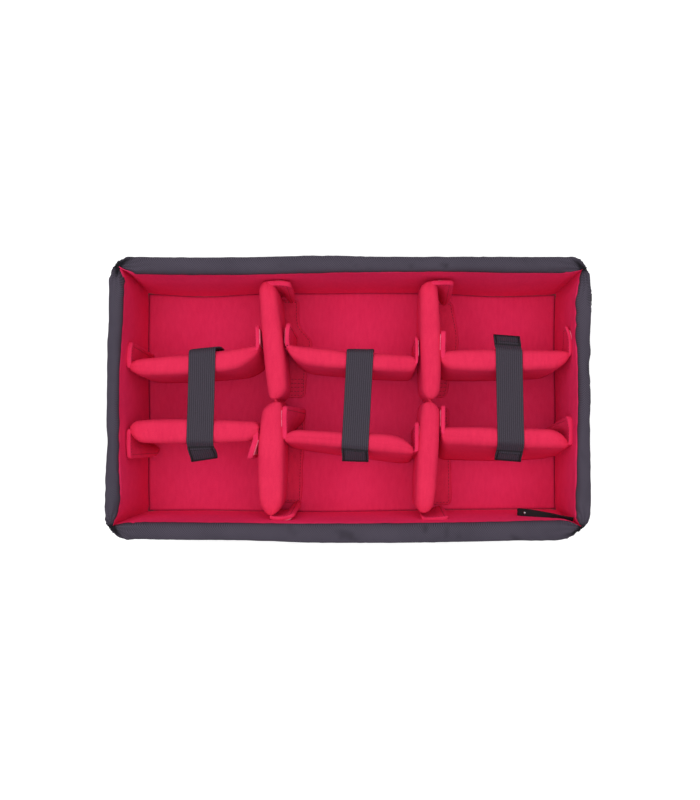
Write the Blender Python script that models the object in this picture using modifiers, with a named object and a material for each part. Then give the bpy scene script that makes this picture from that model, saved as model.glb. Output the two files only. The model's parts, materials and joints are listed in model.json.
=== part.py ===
# Padded divider insert: a soft open tray with two long and six short padded dividers.
# Length runs along X, width along Y, height along Z. The origin is the middle of the base.
# All sizes are in metres. A list whose name ends in share or shares holds parts of a named size.

import math

import bmesh
import bpy
from mathutils import Vector

# Tray
TRAY_LENGTH = 0.500
TRAY_WIDTH = 0.296
TRAY_HEIGHT = 0.150
END_WALL = 0.0135
SIDE_WALL = 0.0195
BASE_THICKNESS = 0.0015
FLOOR_HEIGHT = 0.012
COVER_THICKNESS = 0.0012
LINING_THICKNESS = 0.001
RIM_ROUND = 0.007
RIM_HEM = 0.003
CORNER_CUT_X = 0.023
CORNER_CUT_Y = 0.017
CORNER_TIP_X = 0.001
CORNER_TIP_Y = 0.005
CORNER_FOLD = 0.010
CORNER_FOLD_DEPTH = 0.040
BOARD_ROUND = 0.005
BOARD_TOP_GAP = 0.002
FIT_GAP = 0.0003

# Dividers
DIVIDER_DROP = 0.025
LONG_END_THICKNESS = 0.015
SHORT_END_THICKNESS = 0.014
CROWN_TOP = 0.005
CROWN_MIDDLE = 0.0065
PAD_ROUND = 0.0055
FLAP_CORNER = 0.0015
TOP_ROUND = 0.006
LEAST_ROUND = 0.0005
DIVIDER_COVER = 0.001
CORE_GAP = 0.0006
NECK_LENGTH = 0.003
FLAP_THICKNESS = 0.002
FLAP_LENGTH = 0.022
FLAP_DROP = 0.004
FLOOR_FLAP_WIDTH = 0.020
FLOOR_FLAP_INSET = 0.008
SPACING_TRAVEL = 0.028
LARGEST_LEAN = 0.016

# Straps
WEBBING_WIDTH = 0.0285
WEBBING_THICKNESS = 0.0014
TAB_REACH = 0.018
REAR_TAB_LENGTH = 0.024
HOOK_THICKNESS = 0.001
HINGE_GAP = 0.0005
TAB_SLOPE_SHARE = 0.5
SEAT_SHARE = 0.25

# Pull loops
LOOP_TAPE = 0.008
LOOP_THICKNESS = 0.001
LOOP_FOLD = 0.0018
INNER_LOOP_RUN = 0.058
INNER_LOOP_FALL = 0.045
INNER_LOOP_TOP = 0.012
INNER_LOOP_INSET = 0.003
OUTER_LOOP_FALL = 0.045
OUTER_LOOP_TOP = 0.006
RIVET_RADIUS = 0.0018
RIVET_HEIGHT = 0.001
RIVET_PLACE_SHARE = 0.86
OUTER_LOOP_PLACE_SHARE = 0.845

# Where each long divider's middle lies at its front end, its neck and its rear end,
# in shares of half the inner length
LONG_PLACE_SHARES = {
    "left_long": (-0.362, -0.338, -0.377),
    "right_long": (0.325, 0.357, 0.356),
}
LONG_NECK_SHARE = 0.008

# Where each short divider's middle lies at its left and right ends, in shares of half the
# inner width, and the side that each end flap points to: 1 is rearward, -1 is forward
SHORT_PLACE_SHARES = {
    "left_rear": (0.286, 0.402),
    "left_front": (-0.248, -0.252),
    "mid_rear": (0.407, 0.311),
    "mid_front": (-0.276, -0.377),
    "right_rear": (0.357, 0.364),
    "right_front": (-0.266, -0.317),
}
# How far forward of its top each short divider's bottom stands, in shares of the largest lean,
# and how full its padding is, in shares of the usual crown
SHORT_LEAN_SHARES = {
    "left_rear": 0.5,
    "left_front": 0.0,
    "mid_rear": 0.3,
    "mid_front": 0.7,
    "right_rear": 0.45,
    "right_front": 1.0,
}
SHORT_FULLNESS_SHARES = {
    "left_rear": 1.1,
    "left_front": 1.3,
    "mid_rear": 1.2,
    "mid_front": 0.9,
    "right_rear": 1.2,
    "right_front": 1.0,
}
SHORT_FLAP_SIDES = {
    "left_rear": (1, 1),
    "left_front": (-1, -1),
    "mid_rear": (1, 1),
    "mid_front": (1, 1),
    "right_rear": (1, 1),
    "right_front": (1, 1),
}
# The flap that stands off its neighbour at rest, in degrees
FLAP_OPENINGS = {"left_front_right_flap": 20.0}
STRAP_PLACE_SHARES = {"left": (0.545, 0.562), "mid": (0.568, 0.535), "right": (0.516, 0.531)}
STRAP_REAR_FLARED = {"left": False, "mid": False, "right": True}

# Stations of a pad: along its rounded ends, and along its middle
END_STATION_SHARES = (0.0, 0.14, 0.48, 1.0)
MIDDLE_STATION_SHARES = (0.27, 0.5, 0.73)
TOP_LEVEL_SHARES = (0.0, 0.5, 0.88)
PAD_MIDDLE_SHARE = 0.5
ROUND_STEPS = 6
ARC_STEPS = 4
BOARD_ROUND_STEPS = 2
RIVET_SIDES = 12

INNER_HALF_X = TRAY_LENGTH / 2 - END_WALL
INNER_HALF_Y = TRAY_WIDTH / 2 - SIDE_WALL
FLOOR_FLAP_BOTTOM = FLOOR_HEIGHT + FIT_GAP
RAISED_BOTTOM = FLOOR_FLAP_BOTTOM + FLAP_THICKNESS + FIT_GAP
DIVIDER_TOP = TRAY_HEIGHT - DIVIDER_DROP


def clear_scene():
    for obj in list(bpy.data.objects):
        bpy.data.objects.remove(obj, do_unlink=True)


def make_material(name, color, roughness, metallic=0.0):
    material = bpy.data.materials.new(name)
    material.use_nodes = True
    shader = material.node_tree.nodes["Principled BSDF"]
    shader.inputs["Base Color"].default_value = (*color, 1.0)
    shader.inputs["Roughness"].default_value = roughness
    shader.inputs["Metallic"].default_value = metallic
    material.diffuse_color = (*color, 1.0)
    return material


def charcoal_cloth(name):
    return make_material(name, (0.072, 0.060, 0.084), 0.85)


def red_cloth(name):
    return make_material(name, (0.66, 0.022, 0.075), 0.95)


def black_tape(name):
    return make_material(name, (0.012, 0.011, 0.015), 0.8)


def grey_foam(name):
    return make_material(name, (0.11, 0.11, 0.12), 1.0)


class Body:
    """A moving group: an empty on the joint's axis that its pieces are parented to."""

    def __init__(self, name, place, parent=None):
        self.place = Vector(place)
        self.empty = bpy.data.objects.new(name, None)
        parts.objects.link(self.empty)
        self.empty.location = self.place
        if parent is not None:
            self.empty.parent = parent.empty
            self.empty.location = self.place - parent.place


def add_piece(name, points, faces, material, body=None, origin=None):
    """A mesh from world points, with its origin at the given place and its body as parent."""
    origin = Vector(origin or (0, 0, 0))
    mesh = bpy.data.meshes.new(name)
    mesh.from_pydata([Vector(p) - origin for p in points], [], faces)
    mesh.validate()
    mesh.materials.append(material)
    obj = bpy.data.objects.new(name, mesh)
    parts.objects.link(obj)
    obj.location = origin
    if body is not None:
        obj.parent = body.empty
        obj.location = origin - body.place
    return obj


def thicken(obj, thickness, offset):
    shell = obj.modifiers.new("thickness", "SOLIDIFY")
    shell.thickness = thickness
    shell.offset = offset
    shell.use_even_offset = True
    shell.use_quality_normals = True


def add_box(name, low, high, material, body=None, rounding=0.0):
    low, high = Vector(low), Vector(high)
    mesh = bpy.data.meshes.new(name)
    shape = bmesh.new()
    bmesh.ops.create_cube(shape, size=1.0)
    bmesh.ops.scale(shape, vec=high - low, verts=shape.verts)
    bmesh.ops.translate(shape, vec=(low + high) / 2, verts=shape.verts)
    shape.to_mesh(mesh)
    shape.free()
    mesh.materials.append(material)
    obj = bpy.data.objects.new(name, mesh)
    parts.objects.link(obj)
    if body is not None:
        obj.parent = body.empty
        obj.location = -body.place
    if rounding:
        bevel = obj.modifiers.new("rounding", "BEVEL")
        bevel.width = rounding
        bevel.segments = BOARD_ROUND_STEPS
    return obj


def ring_faces(ring_count, ring_size):
    """Wall faces between closed rings that run anticlockwise seen from above, lowest first."""
    faces = []
    for level in range(ring_count - 1):
        for i in range(ring_size):
            j = (i + 1) % ring_size
            low, high = level * ring_size, (level + 1) * ring_size
            faces.append((low + i, low + j, high + j, high + i))
    return faces


def ladder_cap(first, ring_size, facing_up):
    """A cap of quads across a ring whose second half runs back along its first half."""
    faces = []
    for k in range(ring_size // 2 - 1):
        quad = (first + k, first + k + 1, first + ring_size - 2 - k, first + ring_size - 1 - k)
        faces.append(quad if facing_up else tuple(reversed(quad)))
    return faces


# Tray

def corner_points(half_x, half_y, cut_x, cut_y, tip_x, tip_y, fold):
    """One corner of the tray's outline, in the quarter where X and Y are positive."""
    if cut_x:
        middle = (half_x - cut_x / 2, half_y - cut_y / 2)
        return [(half_x, half_y - cut_y), middle, (half_x - cut_x, half_y)]
    return [(half_x, half_y - fold), (half_x + tip_x, half_y + tip_y), (half_x - fold, half_y)]


def tray_outline(half_x, half_y, cut_x=0.0, cut_y=0.0, tip_x=0.0, tip_y=0.0, fold=0.0):
    """The tray's outline as a ring, anticlockwise from the right end of the front corner."""
    corner = corner_points(half_x, half_y, cut_x, cut_y, tip_x, tip_y, fold)
    ring = []
    for sign_x, sign_y, in_order in ((1, 1, True), (-1, 1, False), (-1, -1, True), (1, -1, False)):
        turn = corner if in_order else corner[::-1]
        ring += [(sign_x * x, sign_y * y) for x, y in turn]
        if sign_x * sign_y > 0:
            ring.append((0.0, sign_y * half_y))
    return ring


def outer_outline():
    return tray_outline(TRAY_LENGTH / 2, TRAY_WIDTH / 2, CORNER_CUT_X, CORNER_CUT_Y)


def inner_outline(tip_share, outset=0.0):
    return tray_outline(INNER_HALF_X + outset, INNER_HALF_Y + outset, tip_x=CORNER_TIP_X * tip_share,
                        tip_y=CORNER_TIP_Y * tip_share, fold=CORNER_FOLD)


def make_side_cover():
    outer, inner = outer_outline(), inner_outline(1.0)
    shoulder = TRAY_HEIGHT - RIM_ROUND
    rings = [[(x, y, BASE_THICKNESS + FIT_GAP) for x, y in outer]]
    for step in range(ROUND_STEPS + 1):
        angle = math.pi * step / ROUND_STEPS
        across = (1 - math.cos(angle)) / 2
        height = shoulder + RIM_ROUND * math.sin(angle)
        ring = [(xo + (xi - xo) * across, yo + (yi - yo) * across, height)
                for (xo, yo), (xi, yi) in zip(outer, inner)]
        rings.append(ring)
    rings.append([(x, y, shoulder - RIM_HEM) for x, y in inner])
    points = [p for ring in rings for p in ring]
    cover = add_piece("side_cover", points, ring_faces(len(rings), len(outer)),
                      charcoal_cloth("side_cover_cloth"))
    thicken(cover, COVER_THICKNESS, -1)


def make_lining():
    top = TRAY_HEIGHT - RIM_ROUND - RIM_HEM - FIT_GAP
    heights_and_tips = [(FLOOR_HEIGHT, 0.0), (top - CORNER_FOLD_DEPTH, 0.0), (top, 1.0)]
    rings = [[(x, y, z) for x, y in inner_outline(tip)] for z, tip in heights_and_tips]
    points = [p for ring in rings for p in ring]
    size = len(rings[0])
    walls = [tuple(reversed(face)) for face in ring_faces(len(rings), size)]
    floor = [tuple(range(size))]
    lining = add_piece("lining", points, walls + floor, red_cloth("lining_cloth"))
    thicken(lining, LINING_THICKNESS, -1)


def make_board(name, along_x, sign):
    """One foam wall board, standing on the base panel between the lining and the cover.

    Its ends stop at the folded corners, and its outer face is the longer one."""
    low_z = BASE_THICKNESS + FIT_GAP
    high_z = TRAY_HEIGHT - COVER_THICKNESS - BOARD_TOP_GAP
    skins = LINING_THICKNESS + FIT_GAP
    cover_skin = COVER_THICKNESS + FIT_GAP
    if along_x:
        near, far = INNER_HALF_Y + skins, TRAY_WIDTH / 2 - cover_skin
        near_half, far_half = INNER_HALF_X - CORNER_FOLD, TRAY_LENGTH / 2 - CORNER_CUT_X - cover_skin
    else:
        near, far = INNER_HALF_X + skins, TRAY_LENGTH / 2 - cover_skin
        near_half, far_half = INNER_HALF_Y - CORNER_FOLD, TRAY_WIDTH / 2 - CORNER_CUT_Y - cover_skin
    board = add_box(name, (-near_half, near, low_z), (near_half, far, high_z), grey_foam(name + "_cell"),
                    rounding=BOARD_ROUND)
    for vertex in board.data.vertices:
        if vertex.co.y > (near + far) / 2:
            vertex.co.x = math.copysign(far_half, vertex.co.x)
    quarter_turns = (0 if sign > 0 else 2) if along_x else (3 if sign > 0 else 1)
    board.rotation_euler.z = quarter_turns * math.pi / 2


def make_base_panel():
    outline = outer_outline()
    rings = [[(x, y, z) for x, y in outline] for z in (0.0, BASE_THICKNESS)]
    size = len(outline)
    faces = ring_faces(2, size) + [tuple(reversed(range(size))), tuple(range(size, 2 * size))]
    add_piece("base_panel", [p for ring in rings for p in ring], faces, charcoal_cloth("base_cloth"))


def make_tray():
    make_base_panel()
    make_side_cover()
    make_lining()
    make_board("rear_wall_foam", True, 1)
    make_board("front_wall_foam", True, -1)
    make_board("left_wall_foam", False, -1)
    make_board("right_wall_foam", False, 1)
    half_x, half_y = INNER_HALF_X + LINING_THICKNESS, INNER_HALF_Y + LINING_THICKNESS
    top = FLOOR_HEIGHT - LINING_THICKNESS - FIT_GAP
    add_box("floor_foam", (-half_x, -half_y, BASE_THICKNESS + FIT_GAP), (half_x, half_y, top),
            grey_foam("floor_board_foam"))


# Pads: a pad runs along a line and has stations, each a place along and its two faces across

class Pad:
    """A padded panel from start to end along its line, its middle moving from one side to another."""

    def __init__(self, start, end, middle_start, middle_end, thickness, corners, bottom,
                 lean=0.0, fullness=1.0):
        self.start, self.end = start, end
        self.middle_start, self.middle_end = middle_start, middle_end
        self.thickness = thickness
        self.corners = corners          # radii: minus and plus side at the start, then at the end
        self.lean = lean                # how far its bottom stands to the minus side of its top
        self.bottom = bottom
        self.fullness = fullness        # its crown in shares of the usual one

    def middle(self, along):
        share = (along - self.start) / (self.end - self.start)
        return self.middle_start + (self.middle_end - self.middle_start) * share

    def half(self, along, crown=CROWN_MIDDLE):
        half_length = (self.end - self.start) / 2
        from_middle = (along - (self.start + self.end) / 2) / half_length
        return self.thickness / 2 + self.fullness * crown * (1 - min(1.0, from_middle * from_middle)) / 2

    def slant(self):
        return (self.middle_end - self.middle_start) / (self.end - self.start)

    def face(self, along, side):
        """How far out the pad's widest face lies on one side, at a place along it."""
        return self.middle(along) + side * self.half(along)

    def stations(self, inset, crown):
        start, end = self.start + inset, self.end - inset
        longest = max(PAD_ROUND - inset, LEAST_ROUND)
        places = [start + longest * share for share in END_STATION_SHARES]
        places += [start + (end - start) * share for share in MIDDLE_STATION_SHARES]
        places += [end - longest * share for share in reversed(END_STATION_SHARES)]
        rows = []
        for place in places:
            row = [place]
            near_start = place - start < end - place
            from_end = min(place - start, end - place)
            for side, radius in zip((-1, 1), self.corners[:2] if near_start else self.corners[2:]):
                radius = max(radius - inset, LEAST_ROUND)
                short = max(radius - from_end, 0.0)
                cut = radius - math.sqrt(radius * radius - short * short)
                row.append(self.middle(place) + side * (self.half(place, crown) - inset - cut))
            rows.append(row)
        return rows


def leaning(lean, height, bottom):
    """How far forward a leaning divider stands at a height, counted from its top."""
    return lean * (DIVIDER_TOP - height) / (DIVIDER_TOP - bottom)


def pad_levels(bottom, top, edge_round):
    """Height, inset and crown of each ring of a pad, from its bottom to its rounded top."""
    middle = bottom + (top - bottom) * PAD_MIDDLE_SHARE
    levels = [(bottom, 0.0, CROWN_TOP), (middle, 0.0, CROWN_MIDDLE)]
    for share in TOP_LEVEL_SHARES:
        angle = share * math.pi / 2
        inset = edge_round * (1 - math.cos(angle))
        levels.append((top - edge_round * (1 - math.sin(angle)), inset, CROWN_TOP))
    return levels


def pad_mesh(pads, along_y, top, shrink, open_bottom):
    """Points and faces of one or more pads in line, joined end to end by a thin neck."""
    points = []
    levels = pad_levels(pads[0].bottom, top, TOP_ROUND - shrink)
    for height, inset, crown in levels:
        rows = [row for pad in pads for row in pad.stations(inset + shrink, crown)]
        ring = [(along, near) for along, near, _ in rows] + [(along, far) for along, _, far in reversed(rows)]
        if along_y:
            ring = [(-across, along) for along, across in mirrored(ring)]
        shift = leaning(pads[0].lean, height, pads[0].bottom)
        points += [(x, y - shift, height) for x, y in ring]
    size = len(points) // len(levels)
    faces = ring_faces(len(levels), size) + ladder_cap(size * (len(levels) - 1), size, True)
    if not open_bottom:
        faces += ladder_cap(0, size, False)
    return points, faces


def mirrored(ring):
    """A ring for a pad along Y: its first half lies on the plus side, so it runs anticlockwise."""
    half = len(ring) // 2
    near, far = ring[:half], ring[half:]
    return [(along, -across) for along, across in reversed(far)] + \
           [(along, -across) for along, across in reversed(near)]


def make_cover(name, pads, along_y, body):
    points, faces = pad_mesh(pads, along_y, DIVIDER_TOP, 0.0, True)
    cover = add_piece(name, points, faces, red_cloth(name + "_cloth"), body)
    thicken(cover, DIVIDER_COVER, -1)


def make_core(name, pad, along_y, body):
    shrink = DIVIDER_COVER + CORE_GAP
    points, faces = pad_mesh([pad], along_y, DIVIDER_TOP - shrink, shrink, False)
    add_piece(name, points, faces, grey_foam(name + "_foam"), body)


def make_flap(name, hinge, direction, peel, pad, bottom, parent):
    """A hook flap that stands on edge: a plate from its round sewn edge along a direction.

    It leans as its divider does, and peels towards the side given."""
    half = FLAP_THICKNESS / 2
    opened = math.radians(FLAP_OPENINGS.get(name, 0.0))
    direction = Vector((*direction, 0.0)) * math.cos(opened) + Vector((*peel, 0.0)) * math.sin(opened)
    across = Vector((-direction.y, direction.x, 0.0))
    outline = []
    for step in range(ARC_STEPS + 1):
        angle = math.pi * (0.5 + step / ARC_STEPS)
        outline.append(direction * (half * math.cos(angle)) + across * (half * math.sin(angle)))
    tip = direction * FLAP_LENGTH
    outline += [tip - across * half, tip + across * half]
    rings = []
    for z in (bottom, DIVIDER_TOP - FLAP_DROP):
        shift = leaning(pad.lean, z, pad.bottom)
        rings.append([(hinge[0] + p.x, hinge[1] + p.y - shift, z) for p in outline])
    size = len(outline)
    faces = ring_faces(2, size) + [tuple(reversed(range(size))), tuple(range(size, 2 * size))]
    body = Body(name + "_hinge", (hinge[0], hinge[1] - leaning(pad.lean, bottom, pad.bottom), bottom), parent)
    add_piece(name, rings[0] + rings[1], faces, red_cloth(name + "_cloth"), body, origin=body.place)
    return body


def make_floor_flap(name, pad, body):
    """A flap sewn to the bottom edge of a long divider's panel, lying on the floor to its right."""
    start, end = pad.start + FLOOR_FLAP_INSET, pad.end - FLOOR_FLAP_INSET
    near, far = [], []
    for share in END_STATION_SHARES[:1] + MIDDLE_STATION_SHARES + END_STATION_SHARES[-1:]:
        along = start + (end - start) * share
        edge = pad.face(along, 1) + FIT_GAP
        near.append((edge, along))
        far.append((pad.middle(along) + pad.thickness / 2 + FLOOR_FLAP_WIDTH, along))
    ring = far + near[::-1]
    rings = [[(x, y, z) for x, y in ring] for z in (FLOOR_FLAP_BOTTOM, FLOOR_FLAP_BOTTOM + FLAP_THICKNESS)]
    size = len(ring)
    faces = ring_faces(2, size) + ladder_cap(0, size, False) + ladder_cap(size, size, True)
    add_piece(name, rings[0] + rings[1], faces, red_cloth(name + "_cloth"), body)


def long_pads(name):
    """The front and rear panels of a long divider, from the front wall to the rear wall."""
    front_x, neck_x, rear_x = [share * INNER_HALF_X for share in LONG_PLACE_SHARES[name]]
    reach = INNER_HALF_Y - FIT_GAP
    neck = INNER_HALF_Y * LONG_NECK_SHARE
    front = Pad(-reach, neck - NECK_LENGTH / 2, front_x, neck_x, LONG_END_THICKNESS,
                (PAD_ROUND, FLAP_CORNER, PAD_ROUND, PAD_ROUND), FLOOR_FLAP_BOTTOM)
    rear = Pad(neck + NECK_LENGTH / 2, reach, neck_x, rear_x, LONG_END_THICKNESS,
               (PAD_ROUND, PAD_ROUND, PAD_ROUND, FLAP_CORNER), FLOOR_FLAP_BOTTOM)
    return front, rear


def make_long_divider(name, parent=None):
    front, rear = long_pads(name)
    body = Body(name + "_lift", (rear.middle_start, 0, FLOOR_FLAP_BOTTOM), parent)
    make_cover(name + "_cover", [front, rear], True, body)
    make_core(name + "_front_core", front, True, body)
    make_core(name + "_rear_core", rear, True, body)
    make_floor_flap(name + "_front_floor_flap", front, body)
    make_floor_flap(name + "_rear_floor_flap", rear, body)
    half = FLAP_THICKNESS / 2
    for end, pad, along in (("front", front, front.start), ("rear", rear, rear.end)):
        inward = 1 if end == "front" else -1
        hinge = (pad.middle(along) + pad.thickness / 2 + FIT_GAP + half, along + inward * half)
        make_flap(name + "_" + end + "_end_flap", hinge, (1, 0), (0, inward), pad, RAISED_BOTTOM, body)
    return body


def flank(name, side, from_y, to_y):
    """Where in X a long divider's face reaches furthest to one side, between two places in Y."""
    front, rear = long_pads(name)
    reaches = []
    steps = len(MIDDLE_STATION_SHARES) * len(END_STATION_SHARES)
    for step in range(steps + 1):
        y = from_y + (to_y - from_y) * step / steps
        pad = rear if y > rear.start else front
        y = min(max(y, pad.start), pad.end)
        reaches.append(pad.face(y, side) * side)
    return max(reaches) * side


def short_end(name, end):
    """Where in X a short divider ends: at a wall's lining or at a long divider's face."""
    bay, row = name.split("_")
    middle = SHORT_PLACE_SHARES[name][end] * INNER_HALF_Y
    reach = SHORT_END_THICKNESS / 2 + FIT_GAP + FLAP_LENGTH
    travel = SPACING_TRAVEL if row == "front" else 0.0
    neighbour = {("left", 1): ("left_long", -1), ("mid", 0): ("left_long", 1),
                 ("mid", 1): ("right_long", -1), ("right", 0): ("right_long", 1)}.get((bay, end))
    if neighbour is None:
        return (INNER_HALF_X - FIT_GAP) * (1 if end else -1)
    long_name, side = neighbour
    forward = reach + LARGEST_LEAN * SHORT_LEAN_SHARES[name]
    return flank(long_name, side, middle - forward, middle + reach + travel) + side * FIT_GAP


def short_pad(name):
    sides = SHORT_FLAP_SIDES[name]
    corners = []
    for side in sides:
        corners += [FLAP_CORNER if side < 0 else PAD_ROUND, FLAP_CORNER if side > 0 else PAD_ROUND]
    places = [share * INNER_HALF_Y for share in SHORT_PLACE_SHARES[name]]
    bottom = FLOOR_FLAP_BOTTOM if name.startswith("left") else RAISED_BOTTOM
    return Pad(short_end(name, 0), short_end(name, 1), *places, SHORT_END_THICKNESS, corners, bottom,
               LARGEST_LEAN * SHORT_LEAN_SHARES[name], SHORT_FULLNESS_SHARES[name])


def make_short_divider(name, parent):
    pad = short_pad(name)
    move = "_spacing" if name.endswith("front") else "_lift"
    place = ((pad.start + pad.end) / 2, (pad.middle_start + pad.middle_end) / 2 - pad.lean, pad.bottom)
    body = Body(name + move, place, parent)
    make_cover(name + "_cover", [pad], False, body)
    make_core(name + "_core", pad, False, body)
    half = FLAP_THICKNESS / 2
    for end, along, inward, side in (("left", pad.start, 1, SHORT_FLAP_SIDES[name][0]),
                                     ("right", pad.end, -1, SHORT_FLAP_SIDES[name][1])):
        across = pad.middle(along) + side * (pad.thickness / 2 + FIT_GAP + half)
        hinge = (along + inward * half, across)
        make_flap(name + "_" + end + "_flap", hinge, (0, side), (inward, 0), pad, pad.bottom, body)
    return body, pad


# Straps

def add_ribbon(name, path, middle, slant, width, thickness, material, body, origin=None):
    """A flat tape along a path of (Y, Z) points.

    Its middle in X and the slant of its cross line are given at each point's Y."""
    points, faces = [], []
    for y, z in path:
        for side in (-width / 2, width / 2):
            points.append((middle(y) + side, y + slant(y) * side, z))
    for k in range(len(path) - 1):
        faces.append((2 * k, 2 * k + 1, 2 * k + 3, 2 * k + 2))
    tape = add_piece(name, points, faces, material, body, origin)
    thicken(tape, thickness, 0)
    return tape


def arc(centre, radius, first, last):
    """Points of an arc in the (Y, Z) plane, from one angle to another in quarter turns from up."""
    points = []
    for step in range(ARC_STEPS + 1):
        angle = (first + (last - first) * step / ARC_STEPS) * math.pi / 2
        points.append((centre[0] + radius * math.sin(angle), centre[1] + radius * math.cos(angle)))
    return points


def make_strap(bay, rear_body, rear_pad, front_pad):
    shares = STRAP_PLACE_SHARES[bay]
    rear_x = rear_pad.start + (rear_pad.end - rear_pad.start) * shares[0]
    front_x = front_pad.start + (front_pad.end - front_pad.start) * shares[1]
    rear_y, front_y = rear_pad.face(rear_x, 1), front_pad.face(front_x, -1)

    def middle(y):
        return front_x + (rear_x - front_x) * (y - front_y) / (rear_y - front_y)

    def slant(y):
        share = min(max((y - front_y) / (rear_y - front_y), 0.0), 1.0)
        share = 1.0 if share > 1 - SEAT_SHARE else 0.0 if share < SEAT_SHARE else share
        return front_pad.slant() + (rear_pad.slant() - front_pad.slant()) * share

    lift = FIT_GAP + WEBBING_THICKNESS / 2
    radius = TOP_ROUND + lift
    rear_centre = (rear_y - TOP_ROUND, DIVIDER_TOP - TOP_ROUND)
    front_centre = (front_y + TOP_ROUND, DIVIDER_TOP - TOP_ROUND)
    slope = TAB_SLOPE_SHARE * math.pi / 2
    hinge_y = rear_centre[0]
    top = DIVIDER_TOP + lift

    front_arc = arc(front_centre, radius, 0, -TAB_SLOPE_SHARE)
    corner = front_arc[-1]
    tab_end = (corner[0] - TAB_REACH, corner[1] - TAB_REACH * math.tan(slope))
    peel = Body(bay + "_strap_peel", (middle(hinge_y), hinge_y, top), rear_body)
    add_ribbon(bay + "_strap", [(hinge_y, top)] + front_arc + [tab_end], middle, slant, WEBBING_WIDTH,
               WEBBING_THICKNESS, charcoal_cloth(bay + "_strap_webbing"), peel, peel.place)

    under = WEBBING_THICKNESS / 2 + FIT_GAP + HOOK_THICKNESS / 2
    shift = (under * math.sin(slope), -under * math.cos(slope))
    patch = [(y + shift[0], z + shift[1]) for y, z in
             (((corner[0] + tab_end[0]) / 2, (corner[1] + tab_end[1]) / 2), tab_end)]
    add_ribbon(bay + "_strap_hook_patch", patch, middle, slant, WEBBING_WIDTH, HOOK_THICKNESS,
               black_tape(bay + "_hook_patch_tape"), peel, peel.place)

    flared = STRAP_REAR_FLARED[bay]
    first = (WEBBING_THICKNESS / 2 + HINGE_GAP) / radius / (math.pi / 2)
    rear_arc = arc(rear_centre, radius, first, TAB_SLOPE_SHARE if flared else 1.0)
    corner = rear_arc[-1]
    if flared:
        flare = REAR_TAB_LENGTH / 2
        end = (corner[0] + flare * math.cos(slope), corner[1] - flare * math.sin(slope))
    else:
        drop = leaning(rear_pad.lean, corner[1] - REAR_TAB_LENGTH, rear_pad.bottom)
        drop -= leaning(rear_pad.lean, corner[1], rear_pad.bottom)
        end = (corner[0] - drop, corner[1] - REAR_TAB_LENGTH)
    add_ribbon(bay + "_strap_rear_tab", rear_arc + [end], middle, slant, WEBBING_WIDTH, WEBBING_THICKNESS,
               charcoal_cloth(bay + "_rear_tab_webbing"), rear_body)


# Pull loops

def loop_path(run, fall, fold):
    """A tape that runs out to a fold and back, as (across, down) points from where it is sewn."""
    length = math.hypot(run, fall)
    ahead = Vector((run / length, fall / length))
    side = Vector((-ahead.y, ahead.x))
    near = LOOP_THICKNESS / 2 + FIT_GAP
    path = [side * -near]
    for step in range(ROUND_STEPS + 1):
        angle = math.pi * (step / ROUND_STEPS - 0.5)
        path.append(ahead * (length - fold + fold * math.cos(angle)) + side * (fold * math.sin(angle)))
    path.append(side * near)
    return path


def make_inner_loop():
    """The pull loop in the front right corner, fallen inside along the front wall."""
    sewn = (INNER_HALF_X - INNER_LOOP_INSET, TRAY_HEIGHT - INNER_LOOP_TOP)
    y = -INNER_HALF_Y + LOOP_TAPE / 2 + FIT_GAP
    body = Body("inner_loop_swing", (sewn[0], y, sewn[1]))
    path = loop_path(INNER_LOOP_RUN, INNER_LOOP_FALL, LOOP_FOLD)
    points, faces = [], []
    for across, down in path:
        x, z = sewn[0] - across, sewn[1] - down
        points += [(x, y - LOOP_TAPE / 2, z), (x, y + LOOP_TAPE / 2, z)]
    for k in range(len(path) - 1):
        faces.append((2 * k, 2 * k + 1, 2 * k + 3, 2 * k + 2))
    loop = add_piece("inner_pull_loop", points, faces, black_tape("inner_loop_tape"), body, body.place)
    thicken(loop, LOOP_THICKNESS, 0)
    make_rivet(path, sewn, y, body)


def make_rivet(path, sewn, y, body):
    """A small rivet head on the upper face of the loop, near its fold."""
    along = Vector((INNER_LOOP_RUN, INNER_LOOP_FALL))
    up = Vector((-along.y, along.x)).normalized() * -1
    lift = LOOP_FOLD * RIVET_PLACE_SHARE + LOOP_THICKNESS / 2 + FIT_GAP + RIVET_HEIGHT / 2
    place = along * RIVET_PLACE_SHARE + up * lift
    centre = Vector((sewn[0] - place.x, y, sewn[1] - place.y))
    normal = Vector((-up.x, 0, -up.y))
    mesh = bpy.data.meshes.new("loop_rivet")
    shape = bmesh.new()
    bmesh.ops.create_cone(shape, cap_ends=True, segments=RIVET_SIDES, radius1=RIVET_RADIUS,
                          radius2=RIVET_RADIUS / 2, depth=RIVET_HEIGHT)
    bmesh.ops.rotate(shape, verts=shape.verts, matrix=normal.to_track_quat("Z", "Y").to_matrix())
    shape.to_mesh(mesh)
    shape.free()
    mesh.materials.append(make_material("rivet_metal", (0.55, 0.55, 0.57), 0.3, 1.0))
    rivet = bpy.data.objects.new("loop_rivet", mesh)
    parts.objects.link(rivet)
    rivet.parent = body.empty
    rivet.location = centre - body.place


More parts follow.
